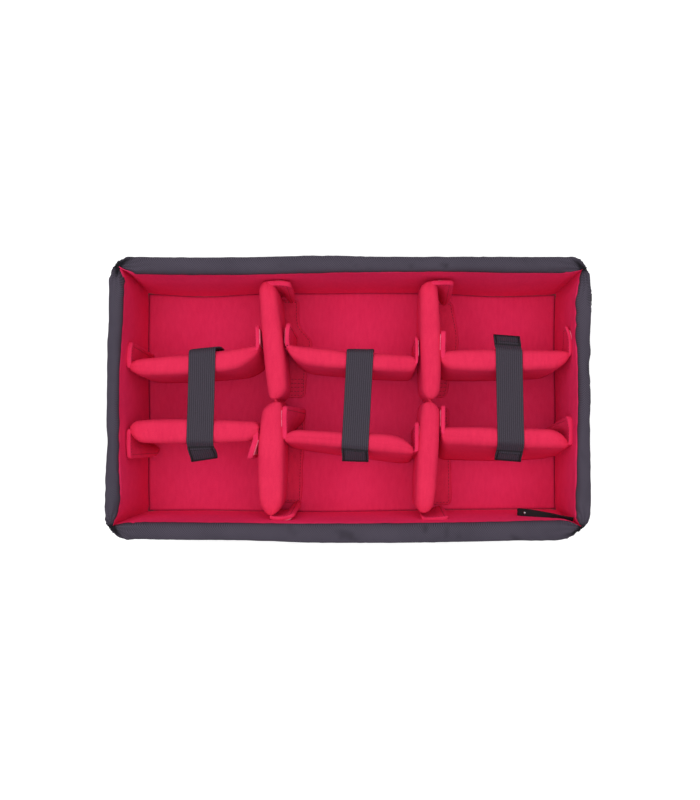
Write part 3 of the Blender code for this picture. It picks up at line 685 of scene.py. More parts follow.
coverValues = {
    "coverCut": (1.56, 0.168),
    "wallRows": 24,
    "rimRows": 20,
    "fullWidth": 17.0,          # where the rim stands at its full height
    "footPower": 0.7,
    "fullPower": 0.6,
    "rimPower": 0.75,
    "tuck": 0.6,
    "thickness": 1.2,
    "sides": (225.0, 125.0),    # beyond these a point belongs to a side wall, or an end wall
    "wrinkleHeight": 1.7,
    "wrinkleReach": 20.0,
    "wrinkleStart": 3.0,
    "wrinklesPerTurn": 17,
    "wrinkleSway": 3.0,
    # folds that run out of each corner of the rim: direction in degrees, reach, depth, half width
    "creases": (((195, 16, 3.4, 1.5), (318, 20, 2.4, 2.2)), ((300, 16, 3.4, 1.5), (212, 26, 2.2, 2.4)),
                ((8, 14, 3.4, 1.5), (140, 18, 2.4, 2.0)),
                ((172, 12, 3.4, 1.7), (28, 24, 2.0, 2.4), (262, 16, 2.6, 2.0))),
    "creaseStart": 2.5,
    "creaseDepth": 2.0,
    "rumple": 1.8,
    "rumpleSlant": 0.6,
    "rumpleStretch": 0.45,
    "rumpleShares": (0.9, 0.35),
    "swell": 0.9,
    "rimShare": 0.7,            # of the folds' depth that shows on the rim
    # painted shade, in the four below: in the creases, in the rumples' and the wrinkles' valleys, and at the
    # corners' tips
    "creaseShade": 0.7,
    "rumpleShade": (1.5, 0.08),     # how dark, and the depth where it starts
    "wrinkleShade": (0.5, 0.1),
    "tipShade": (1.0, 3.4),     # how dark the corners' tips are, and how far that reaches
    "scallop": (0.45, 1.7),     # at the front and rear rims, and at the left and right ones
    "wallBulge": 1.2,
    "wallSag": 1.3,
    "wallFold": 0.6,
    "wallInset": 1.0,
    # heights in mm where each begins to show, and over how much height it grows
    "topFade": (120, 28),
    "liftFade": (135, 12),
    "wallFade": (140, 8),
    "scallopFade": (110, 25),
    "footFade": (0, 20),
    "bulgeTop": 143,
}


def tipAngles(points, tips):
    # distance and direction of every point from its nearest rim corner
    gaps = points[:, None, :2] - tips[None, :, :]
    far = np.hypot(gaps[..., 0], gaps[..., 1])
    nearest = far.argmin(1)
    chosen = gaps[np.arange(len(points)), nearest]
    return far.min(1), np.arctan2(chosen[:, 1], chosen[:, 0]), nearest


def creaseAt(far, angle, corner, values):
    # how deep a fold that starts at the corner's tip cuts in here
    depth = 0.0
    for towards, reach, deep, half in values["creases"][corner]:
        turned = angle - math.radians(towards)
        if math.cos(turned) > 0:
            away = far * math.sin(turned) / (half * mm)
            depth += deep * math.exp(-away * away) * (1 - smooth(far * math.cos(turned) / (reach * mm)))
    return depth * (1 - math.exp(-far / (values["creaseStart"] * mm)))


def rumpleAt(x, y, z, values):
    # slack cloth lies in short slanting folds
    slant, (long, fine) = values["rumpleSlant"], values["rumpleShares"]
    patch = 0.5 + 0.5 * ripple(x, y, z, 0.09, seed=12.3)
    fold = ripple(x + slant * y, (y - slant * x) * values["rumpleStretch"], z, 0.012, seed=7.7)
    return patch * (1 - 2 * abs(fold)) * long + fine * ripple(x, y, z, 0.02, seed=4.2)


def makeCover(values):
    foot, rim, inner = traySpec("foot"), traySpec("rimOuter"), outlineOf(traySpec("rimInner"))
    rise = trayValues["rimRise"] * mm
    shoulder = rimTop - rise
    rows = []
    for k in range(values["wallRows"] + 1):
        up = k / values["wallRows"]
        ring = outlineOf(foot, rim, smooth(up), up ** values["footPower"])
        rows.append(np.column_stack([ring, np.full(len(ring), mixed(coverLow.z, shoulder, up))]))
    outer = outlineOf(rim)
    width = np.hypot(*(outer - inner).T)
    fullness = np.clip(width / (values["fullWidth"] * mm), 0, 1) ** values["fullPower"]
    for k in range(1, values["rimRows"] + 1):
        angle = math.pi * k / values["rimRows"]
        height = shoulder + rise * fullness * math.sin(angle) ** values["rimPower"]
        rows.append(np.column_stack([mixed(outer, inner, (1 - math.cos(angle)) / 2), height]))
    rows[-1][:, 2] -= values["tuck"] * mm
    grid = np.array(rows)
    flat = grid.reshape(-1, 3)
    far, angle, nearest = tipAngles(flat, traySpec("rimInner")["corners"] * mm)
    outward = np.sign(flat[:, :2]) * (np.abs(flat[:, :2]) > np.array(values["sides"]) * mm)
    shades = []
    tipStrength, tipReach = values["tipShade"]
    rumpleDark, rumpleFrom = values["rumpleShade"]
    wrinkleDark, wrinkleFrom = values["wrinkleShade"]
    for index, (x, y, z) in enumerate(flat):
        away = far[index]
        sway = values["wrinkleSway"] * ripple(x, y, z, 0.02)
        fold = math.sin(values["wrinklesPerTurn"] * angle[index] + sway)
        begun = 1 - math.exp(-away / (values["wrinkleStart"] * mm))
        wrinkle = fold * begun * math.exp(-away / (values["wrinkleReach"] * mm))
        rumple = rumpleAt(x, y, z, values)
        crease = creaseAt(away, angle[index], nearest[index], values)
        # painted shade on the rim: dark in the creases, in the valleys of the rumples and wrinkles, and at
        # the corners' tips
        dark = values["creaseShade"] * crease + rumpleDark * max(0.0, -rumpleFrom - rumple)
        dark += wrinkleDark * max(0.0, -wrinkle - wrinkleFrom)
        dark += tipStrength * math.exp(-(away / (tipReach * mm)) ** 2)
        onTop = ramp(z, *values["topFade"])
        shades.append(onTop * dark)
        soft = values["swell"] * ripple(x, y, z, 0.055, seed=3.1) + values["rumple"] * rumple
        soft -= values["creaseDepth"] * crease
        lift = values["wrinkleHeight"] * wrinkle * onTop + values["rimShare"] * soft
        flat[index, 2] += lift * mm * ramp(z, *values["liftFade"])
        bulge = values["wallBulge"] * math.sin(math.pi * min(z / (values["bulgeTop"] * mm), 1.0))
        bulge += values["wallSag"] * ripple(x * 0.6, y * 0.6, z * 1.6, 0.05, seed=5.5) - values["wallInset"]
        bulge += values["wallFold"] * fold * math.exp(-away / 0.03)
        bulge *= (1 - ramp(z, *values["wallFade"])) * ramp(z, *values["footFade"])
        scallop = mixed(*values["scallop"], abs(outward[index, 0])) * rumple * ramp(z, *values["scallopFade"])
        flat[index, :2] += outward[index] * (bulge + scallop) * mm
    faces = gridFaces(*grid.shape[:2], around=True)
    cover = meshPiece("side_cover_cloth", flat, faces, cloths["cover_twill"])
    shadeFolds(cover, shades)
    thicken(cover, values["thickness"] * mm)
    place(cover, "root", "charcoal_cloth", "side_cover")


linerValues = {
    "liningCut": (0.754, 0.533),
    "liningCutArea": 0.3234,
    "rows": 34,
    "crowding": 0.78,
    "thickness": 0.9,
    "underRim": 1.0,
    "underFloor": 2.0,
    "cornerPower": 0.9,
    "walls": (237.0, 129.0),    # where the side walls and the end walls stand
    "wallHalf": 12.0,
    "cornerHold": 0.6,
    "bulge": (0.7, 0.9),        # of the foam, and of the roll under the rim's edge
    "roll": (1.8, 5.0, 2.5),    # how far it turns out, and the heights where that starts and ends
    "groove": (0.9, 2, 4, 14),  # the bulge over the slit: its depth, where it is full, its upper end
    "softness": 0.8,
    # painted shade along the slit where the walls meet the floor, set by the four below
    "slitShade": (1.0, 0.6),    # at the left and right walls, and at the front and rear ones
    "slitReach": 3.6,
    "slitWaves": (0.8, 0.4),
    "sideWalls": (228, 8),      # from where a wall counts as a side wall, and over how much
    "floorSize": (0.474, 0.253),
    "floorEdge": 1.6,
    "floorSwell": 2.05,
    "floorWaves": (0.25, 0.12),
}


def smoothAll(shares):
    shares = np.clip(shares, 0, 1)
    return shares * shares * (3 - 2 * shares)


def linerWallRows():
    values = linerValues
    low, high = traySpec("floorLine"), traySpec("rimInner")
    top = rimTop - (trayValues["rimRise"] - values["underRim"]) * mm
    bottom = floorTop - values["underFloor"] * mm
    bulge, roll = values["bulge"]
    turnedOut, rollFrom, turnFrom = values["roll"]
    groove, grooveFull, grooveEnd, grooveFade = values["groove"]
    rows = []
    for k in range(values["rows"] + 1):
        up = crowded(k / values["rows"], values["crowding"])
        height = mixed(bottom, top, up)
        ring = outlineOf(low, high, up, math.sin(math.pi / 2 * up) ** values["cornerPower"])
        # the foam swells the wall a little, the cloth rolls outward under the rim's edge, and it
        # bulges over the slit between wall and floor
        below, over = (top - height) / mm, (height - bottom) / mm
        inset = bulge * math.sin(math.pi * up)
        inset += roll * (1 - smooth((rollFrom - below) / rollFrom)) * smooth(up * 4)
        inset -= turnedOut * smooth((turnFrom - below) / turnFrom)
        inset += groove * smooth(over / grooveFull) * (1 - smooth((over - grooveEnd) / grooveFade))
        middle = np.sign(ring)
        nearWall = np.abs(np.abs(ring) - np.array(values["walls"]) * mm) / (values["wallHalf"] * mm)
        reach = smoothAll(1 - nearWall)
        ring -= middle * reach * (1 - reach[:, ::-1] * values["cornerHold"]) * inset * mm
        soft = np.array([ripple(x, y, height * 1.5, 0.045, seed=1.7) for x, y in ring])
        soft *= values["softness"] * mm * smooth(up * 5) * smooth((1 - up) * 8) * (1 - reach.min(1))
        ring -= middle * reach * soft[:, None]
        rows.append(np.column_stack([ring, np.full(len(ring), height)]))
    return np.array(rows)


def makeLiner(values):
    rows = linerWallRows()
    faces = gridFaces(*rows.shape[:2], around=True, flip=True)
    points = [tuple(p) for p in rows.reshape(-1, 3)]
    # painted shade along the foot of the walls, where they meet the floor, stronger at the left and right
    # walls
    reach, (beside, along), (even, wavy) = values["slitReach"] * mm, values["slitShade"], values["slitWaves"]
    shades = []
    for x, y, z in points:
        uneven = even + wavy * ripple(x, y, 0, 0.05, seed=6.6)
        strength = mixed(along, beside, ramp(abs(x), *values["sideWalls"])) * uneven
        shades.append(strength * (1 - smooth((z - rows[0, 0, 2]) / reach)))
    # the floor: a patch between the four lowest side lines
    across, deep = trayValues["sidePoints"]
    ring = rows[0]
    front, right = ring[:across + 1], ring[across:across + deep + 1]
    rear = ring[across + deep:2 * across + deep + 1][::-1]
    left = np.vstack([ring[2 * across + deep:], ring[:1]])[::-1]
    first = len(points)
    (floorX, floorY), (longWave, shortWave) = values["floorSize"], values["floorWaves"]
    for j in range(deep + 1):
        v = np.clip((left[j, 1] - left[0, 1]) / (left[-1, 1] - left[0, 1]), 0, 1)
        for i in range(across + 1):
            u = (front[i, 0] - front[0, 0]) / (front[-1, 0] - front[0, 0])
            edges = mixed(front[i], rear[i], v) + mixed(left[j], right[j], u)
            corners = mixed(mixed(front[0], front[-1], u), mixed(rear[0], rear[-1], u), v)
            x, y, z = edges - corners
            inside = min(u, 1 - u) * floorX, min(v, 1 - v) * floorY
            swell = 1 - math.exp(-min(inside) / (values["floorEdge"] * mm))
            waves = longWave * ripple(x, y, 0, 0.07, seed=2.2) + shortWave * ripple(x, y, 0, 0.02, seed=9.1)
            points.append((x, y, z + swell * (values["floorSwell"] + waves) * mm))
            # painted shade along the floor's edge, at the same slit
            strength = mixed(along, beside, smooth((0.008 - inside[0]) / 0.004))
            shades.append(strength * (1 - smooth(min(inside) / reach)))
    faces += [tuple(first + k for k in face) for face in gridFaces(deep + 1, across + 1)]
    liner = meshPiece("lining_cloth", points, faces, cloths["lining_pile"])
    shadeFolds(liner, shades)
    editMesh(liner, join=0.02 * mm)
    liner.data.shade_smooth()
    thicken(liner, values["thickness"] * mm)
    place(liner, "root", "red_loop_cloth", "lining")


boardValues = {"thickness": 7.0, "gap": 0.3, "cornerPoints": 22, "everyPoint": 4, "everyRow": 3}


def makeWallBoard(name, side, node, values):
    # a foam board that follows its wall of the lining from behind
    across, deep = trayValues["sidePoints"]
    starts = np.cumsum([0, across, deep, across, deep])
    towards, outward = (side + 1) % 2, -1 if side in (0, 3) else 1
    first, last = starts[side] + values["cornerPoints"], starts[side + 1] - values["cornerPoints"]
    levels = linerWallRows()[2:-4:values["everyRow"]]
    near = np.array([row[first:last:values["everyPoint"]] for row in levels])
    near[..., towards] += outward * (linerValues["thickness"] + values["gap"]) * mm
    far = near.copy()
    far[..., towards] += outward * values["thickness"] * mm
    turned = np.concatenate([near, far[::-1]]).transpose(1, 0, 2)
    rows, size = turned.shape[:2]
    faces = gridFaces(rows, size, around=True)
    last = (rows - 1) * size
    for k in range(size // 2 - 1):
        faces.append((k, k + 1, size - 2 - k, size - 1 - k))
        faces.append((last + size - 1 - k, last + size - 2 - k, last + k + 1, last + k))
    board = meshPiece(name, turned.reshape(-1, 3), faces, cloths["foam_cells"])
    tidyMesh(board)
    place(board, "root", "foam", node)


makeCover(coverValues)
makeLiner(linerValues)
for side, label in enumerate(sideNames):
    makeWallBoard(label + "_wall_board", side, label + "_wall_foam", boardValues)
for node, cloth in (("base_panel", "cover_twill"), ("floor_foam", "foam_cells")):
    frame["nodes"][node].data.materials.clear()
    frame["nodes"][node].data.materials.append(cloths[cloth])
print("tray made")


# Padded dividers: every pad is measured on its foam core and dressed in a fuller cover

coreGap = 1.6 * mm          # from the core's faces to the cover's
coreCorner = 3.9 * mm       # how far in from its ends the core has its full thickness

padValues = {
    "stations": 40,
    "sideRows": 12,
    "roundRows": 7,
    "topPoints": 6,
    "edgeRound": 8.0,
    "belly": 0.5,
    "softness": 0.55,
    "fallReach": 14.0,
    "topDrop": 0.6,
    "topWave": 0.3,
    "crown": 0.4,
    "crowding": 0.85,           # of the stations, towards the ends
    "footShare": 0.35,          # of the top's fullness that the foot takes on
    "leastEnd": 0.6,
    "leastHalf": 0.4,
    "stillFoot": 20.0,          # up to this height the cloth lies smooth
    "fineSwell": 0.35,
    "pucker": 1.2,
    "puckerStations": 6.0,
    "coreInset": 1.5,
    "fullBend": 2.6,            # the power that rounds its plan towards its ends
    "edgeShare": 0.92,
}

# The shape of each pad, in mm, from its start to its end: how much fuller its two sides stand at
# the top than the solid, how far it stops short of its ends, how far the rounding of its ends
# reaches along its minus and its plus side, where each end's tip lies across, from -1 to 1, how
# far the top falls there, and how much fuller its two sides stand at the foot
padShapes = {
    "left_long_front": {
        "minus": (0.5, 1.8, 4.4, 6.3, 6.2, 4.6, 3.4), "plus": (0, 2.4, 3.3, 1.8, 0.5, -0.3, 1.0),
        "trims": (7.0, 0), "startReach": (13, 13), "endReach": (11, 10), "tips": (0.1, 0.2), "falls": (4, 6),
        "feet": ((0, 0), (-4, -4))},
    "left_long_rear": {
        "minus": (1.0, -0.8, -1.0, -0.6, -0.1, 0.8, 1.0), "plus": (3.0, 4.4, 3.9, 2.3, 1.2, 1.2, 1.0),
        "trims": (0, 0.6), "startReach": (8, 14), "endReach": (12, 11), "tips": (-0.2, 0), "falls": (6, 4),
        "feet": ((0, 0), (-2, -2))},
    "right_long_front": {
        "minus": (-2.5, -0.6, -0.4, -0.4, -0.4, 0, 2.0), "plus": (0.5, 1.3, 2.2, 2.6, 2.6, 2.4, 2.0),
        "trims": (9.4, 0), "startReach": (10, 8), "endReach": (8, 12), "tips": (0, -0.1), "falls": (4, 6)},
    "right_long_rear": {
        "minus": (0.6, 0.1, -0.8, 0.1, 1.0, 1.6, 0.7), "plus": (0.5, 1.9, 2.5, 1.8, 0.8, 0.0, 0.5),
        "trims": (0, 0.6), "startReach": (12, 9), "endReach": (9, 9), "tips": (0.2, 0.1), "falls": (6, 4)},
    "left_rear": {
        "minus": (0.2, 2.3, 2.9, 5.4, 5.6, 2.5, 1.2), "plus": (0.3, 0.1, -1.6, -2.7, -1.9, 1.0, 1.2),
        "trims": (0.8, 1.6), "startReach": (22, 15), "endReach": (26, 7), "tips": (0, 0.5), "falls": (4, 5),
        "feet": ((-4, -4, -1.5, 2, 6), (0, 0))},
    "left_front": {
        "minus": (3.0, 4.0, 3.4, 2.6, 1.8, 2.0, 1.8), "plus": (3.0, 3.2, 3.2, 3.0, 2.4, 2.4, 1.8),
        "trims": (1.4, 4.0), "startReach": (15, 8), "endReach": (17, 7), "tips": (0.2, 0.35),
        "falls": (4, 4)},
    "mid_rear": {
        "minus": (1.7, 1.9, 2.7, 2.0, 1.4, 1.0, 1.8), "plus": (1.8, 0, -1.4, -3.0, -1.4, 0.3, 1.8),
        "trims": (4.5, 3.4), "startReach": (24, 6), "endReach": (8, 7), "tips": (0.7, 0), "falls": (3, 4),
        "feet": ((3, 2.5, 2, 2, 2), (0, 0))},
    "mid_front": {
        "minus": (1.5, 0.0, -1.2, -1.2, -0.6, 0.2, 1.2), "plus": (-1.5, -1.0, -0.8, 0.8, 2.6, 1.8, -2.0),
        "trims": (1.0, 1.4), "startReach": (9, 17), "endReach": (13, 24), "tips": (-0.45, -0.5),
        "falls": (4, 6), "feet": ((-3, -3, 0, 4, 5), (0, 0))},
    "right_rear": {
        "minus": (0.2, 2.7, 3.8, 3.8, 3.2, 2.9, 0.5), "plus": (0.3, 0.2, 0.2, -0.2, -1.0, -0.4, 0.5),
        "trims": (1.0, 3.4), "startReach": (13, 8), "endReach": (20, 9), "tips": (0, 0.3), "falls": (4, 3),
        "feet": ((6, 4, 2, 1, 1), (0, 0))},
    "right_front": {
        "minus": (3.0, 1.8, 0.9, 0.6, 0.7, 1.4, 2.2), "plus": (1.5, 0.4, 0.7, 1.3, 2.3, 2.4, -2.5),
        "trims": (3.4, 4.2), "startReach": (8, 6), "endReach": (11, 22), "tips": (0, -0.5), "falls": (4, 6),
        "feet": ((10, 8, 5, -1, -4), (0, 0))},
}
plainFeet = ((0, 0), (0, 0))


def middleAt(points, run, at, height):
    # the middle and the half thickness of the core's points near a place and a height
    near = points[(np.abs(points[:, run] - at) < 0.6 * mm) & (np.abs(points[:, 2] - height) < 1.0 * mm)]
    values = near[:, 1 - run]
    return (values.min() + values.max()) / 2, (values.max() - values.min()) / 2


def measurePad(core, run):
    # the pad's ends, height, middle line and half thickness, from its core
    points = np.array([v.co for v in frame["nodes"][core].data.vertices])
    low, high = points.min(0), points.max(0)
    ends = low[run] + coreCorner, high[run] - coreCorner
    halfway = (low[2] + high[2]) / 2
    foot = [middleAt(points, run, at, low[2]) for at in ends]
    waist = [middleAt(points, run, at, halfway) for at in ends]
    centre = middleAt(points, run, (low[run] + high[run]) / 2, low[2])
    return {
        "run": run, "start": low[run] - coreGap, "end": high[run] + coreGap,
        "bottom": low[2], "top": high[2] + coreGap, "measured": ends,
        "foot": [m for m, _ in foot], "lean": 2 * (waist[0][0] - foot[0][0]),
        "endHalf": foot[0][1] + coreGap, "middleHalf": centre[1] + coreGap,
    }


def middleOf(pad, along):
    # the place across of the pad's middle line at its foot
    first, last = pad["measured"]
    return mixed(pad["foot"][0], pad["foot"][1], (along - first) / (last - first))


def leanOf(pad, height):
    return pad["lean"] * (height - pad["bottom"]) / (pad["top"] - pad["bottom"])


def halfOf(pad, along):
    share = (along - pad["start"]) / (pad["end"] - pad["start"])
    return mixed(pad["endHalf"], pad["middleHalf"], 1 - abs(2 * share - 1) ** padValues["fullBend"])


def roundedOff(gap, reach, depth):
    # how far a rounded end falls back, at a distance from the end
    if gap >= reach:
        return 0.0
    return depth * (1 - math.sqrt(max(0.0, 1 - (1 - gap / reach) ** 2)))


def padRing(half, low, high, edge, values, crown=0.0):
    # up the minus side, over the top and down the plus side, as (across, height)
    edge = min(edge, half * padValues["edgeShare"])
    side = []
    for k in range(values["sideRows"]):
        up = k / values["sideRows"]
        height = mixed(low, high - edge, up)
        side.append((half + values["belly"] * mm * math.sin(math.pi * up), height))
    for k in range(values["roundRows"] + 1):
        angle = math.pi / 2 * k / values["roundRows"]
        side.append((half - edge + edge * math.cos(angle), high - edge + edge * math.sin(angle)))
    flat = half - edge
    top = []
    for k in range(1, values["topPoints"]):
        across = mixed(-flat, flat, k / values["topPoints"])
        top.append((across, high + crown * (1 - (across / max(flat, 0.01 * mm)) ** 2)))
    return [(-a, z) for a, z in side] + top + [(a, z) for a, z in reversed(side)]


def makePad(name, pad, shape, shrink=0.0, seed=0.0):
    values = padValues
    first = pad["start"] + shape["trims"][0] * mm + shrink
    last = pad["end"] - shape["trims"][1] * mm - shrink
    reaches = shape["startReach"], shape["endReach"]
    rings = []
    for k in range(values["stations"] + 1):
        plain = k / values["stations"]
        along = mixed(first, last, crowded(plain, values["crowding"]))
        gaps = along - first, last - along
        # half thicknesses at the foot and at the top, towards the minus and the plus side
        half = halfOf(pad, along)
        feet = [half + curveThrough(given, plain) * mm for given in shape.get("feet", plainFeet)]
        tops = [half + curveThrough(shape[side], plain) * mm for side in ("minus", "plus")]
        sides = []
        for side, sign in ((0, -1), (1, 1)):
            both = []
            for full in (mixed(feet[side], tops[side], values["footShare"]), tops[side]):
                full -= shrink
                cut = 0.0
                for end in (0, 1):
                    depth = full - sign * shape["tips"][end] * full - values["leastEnd"] * mm
                    cut += roundedOff(gaps[end], reaches[end][side] * mm, depth)
                both.append(full - cut)
            sides.append(both)
        fallReach = values["fallReach"] * mm
        fall = sum(roundedOff(gap, fallReach, depth * mm) for gap, depth in zip(gaps, shape["falls"]))
        top = pad["top"] - shrink - fall - values["topDrop"] * mm
        top += values["topWave"] * mm * ripple(along, seed, 0, 0.03)
        middle = middleOf(pad, along)
        reach = max(values["leastHalf"] * mm, (sides[0][1] + sides[1][1]) / 2)
        ring = padRing(reach, pad["bottom"], top, values["edgeRound"] * mm, values, values["crown"] * mm)
        points = []
        for across, height in ring:
            up = (height - pad["bottom"]) / (pad["top"] - pad["bottom"])
            low, high = -mixed(*sides[0], up), mixed(*sides[1], up)
            placed = mixed(low, high, (across / reach + 1) / 2) if high > low else (low + high) / 2
            side = middle + placed + leanOf(pad, height)
            points.append((along, side, height) if pad["run"] == 0 else (side, along, height))
        rings.append(points if pad["run"] == 0 else points[::-1])
    if not shrink:
        rings = soften(np.array(rings), values["softness"] * mm, seed)
    piece = tubePiece(name, rings, cloths["foam_cells" if shrink else "divider_pile"])
    tidyMesh(piece)
    return piece


def soften(grid, height, seed):
    # slack cloth: long soft swells, and short puckers that gather towards the sewn ends
    values = padValues
    rows = grid.shape[0]
    middle = grid.mean(1, keepdims=True)
    for i in range(rows):
        pucker = values["pucker"] * math.exp(-min(i, rows - 1 - i) / values["puckerStations"])
        for j, (x, y, z) in enumerate(grid[i]):
            if z <= values["stillFoot"] * mm:
                continue
            outward = grid[i, j] - middle[i, 0]
            amount = ripple(x, y, z, 0.028, seed) + values["fineSwell"] * ripple(x, y, z, 0.009, seed + 5)
            amount += pucker * ripple(x, y, z * 2.5, 0.010, seed + 9)
            grid[i, j] += outward / max(np.linalg.norm(outward), 1e-6) * height * amount
    return grid


def dressPad(label, body, run, seed, coreSeed, *solids):
    pad = pads[label] = measurePad(label + "_core", run)
    cover = makePad(label + "_pad", pad, padShapes[label], seed=seed)
    place(cover, body, "red_loop_cloth", *solids)
    core = makePad(label + "_foam", pad, padShapes[label], shrink=padValues["coreInset"] * mm, seed=coreSeed)
    place(core, body, "foam", label + "_core")


pads = {}
for number, name in enumerate(("left_long", "right_long")):
    seed = number * 3.7
    dressPad(name + "_front", name + "_divider", 1, seed, seed, name + "_cover")
    dressPad(name + "_rear", name + "_divider", 1, seed + 1.9, seed)
for number, bay in enumerate(("left", "mid", "right")):
    for row in ("rear", "front"):
        label, seed = bay + "_" + row, 20 + number * 2.3
        dressPad(label, label + "_divider", 0, seed + (row == "rear"), seed, label + "_cover")
print("pads made:", len(pads))


# Flaps: each is sewn round the end of its pad and stands on edge along the wall or the neighbour

flapValues = {
    "thickness": 3.2,
    "length": 22.0,
    "gap": 0.9,                 # between the flap and the plane of the pad's end
    "pathPoints": 30,
    "topRound": 1.5,
    "topCorner": (7.0, 6.0),    # reach along the flap and fall of its free corners
    "footCorner": (6.0, 5.0),
    "rootFall": 2.0,
    "wave": 0.7,
    "ring": {"sideRows": 16, "roundRows": 4, "topPoints": 2, "belly": 0.0},
    "tapeThickness": 0.8,
    "tapeShares": (0.66, 0.92),
    "tapeSink": 0.1,
    "tapeFoot": 8.0,
    "tapeTops": (4.0, -0.5),    # below the flap's top where the tape is hidden, and where it shows
    "seamInset": 2.6,
    "seamStart": 0.42,
    "rootShare": 0.35,          # of the flap's run, over which its top falls off towards the root
    "wholeRun": 1.5,            # beside its free length
    "edgeThin": 0.55,           # how thick the free edge is beside the rest
}

# For each flap, in mm: how high it stands over its solid, how far its free edge turns inwards at
# the top and at the foot, whether its hook tape shows, how far it is moved inwards as a whole,
# how much longer it is, and how thick
flapShapes = {
    "left_rear_left": (0.5, 1.5, 4.0, False, -3.2, -2.0, 5.4),
    "left_rear_right": (1.5, 0.8, 0.8, True, -0.6, 0.5, 4.2),
    "left_front_left": (0.0, -0.6, 15.0, False, -3.2, 0.0, 4.6),
    "left_front_right": (0.5, 1.5, 1.5, True, 3.4, 0.5, 6.0),
    "mid_rear_left": (2.0, 1.0, 0.5, False, 1.6, 2.0, 4.6),
    "mid_rear_right": (1.0, 0.4, 1.0, True, 0.3, 0.0, 3.2),
    "mid_front_left": (1.0, 0.4, 14.0, True, -2.6, 2.0, 5.2),
    "mid_front_right": (0.5, 0.0, 1.0, False, -5.1, -2.0, 4.4),
    "right_rear_left": (1.5, 0.6, 0.5, True, -0.6, 1.0, 5.4),
    "right_rear_right": (1.0, 4.0, 3.0, True, 0.0, 5.0, 3.4),
    "right_front_left": (1.5, 0.4, 0.5, False, 1.4, 2.0, 4.4),
    "right_front_right": (1.0, 2.0, 10.0, False, -2.4, -2.7, 5.6),
    "left_long_front_end": (0.5, 3.5, 10.0, True, 0.5, -3.5, 4.4),
    "left_long_rear_end": (1.0, 1.0, 12.0, False, -1.0, -4.0, 5.4),
    "right_long_front_end": (0.5, 1.0, 5.0, True, -0.7, -2.0, 4.6),
    "right_long_rear_end": (1.5, -0.5, 20.0, False, -1.0, -4.0, 4.8),
}
# The feet of these are rounded off or cut away further: reach and fall of the corner
footCorners = {
    "left_long_rear_end": (14.0, 55.0),
    "right_long_rear_end": (20.0, 70.0),
    "left_front_left": (16.0, 42.0),
    "right_rear_right": (30.0, 96.0),
}
# Their outline there: 2 for a round corner, and below 1 for a hollow one
footBends = {"right_rear_right": 0.75}
# How far the foot has already turned inwards at two thirds of the way to its free edge
footTurns = {"right_long_rear_end": 0.9, "left_front_left": 0.9, "left_long_rear_end": 0.9,
             "right_front_right": 2.2, "mid_front_left": 0.85, "left_long_front_end": 0.8,
             "right_long_front_end": 0.8}
footLengths = {"mid_front_left": 9.0}         # how much longer its foot is than its top
flapOpenings = {"left_front_right": 13.0}     # how far it has swung away from the wall, in degrees


def flapPath(tip, half, inward, gap, length, turned=0.3):
    # (from the pad's end, across towards the free edge) in metres, from the sewn root onwards
    route = [(8 * mm, tip - 1.6 * mm), (4.5 * mm, tip - 1.2 * mm), (gap + 1.4 * mm, tip - 0.4 * mm),
             (gap + 0.2 * mm, tip + 2.4 * mm), (gap, mixed(tip, half, 0.7)), (gap, half + length * 0.2),
             (gap + inward * turned, half + length * 0.6), (gap + inward, half + length)]
    count = flapValues["pathPoints"]
    return [(curveThrough([p[0] for p in route], k / count), curveThrough([p[1] for p in route], k / count))
            for k in range(count + 1)]


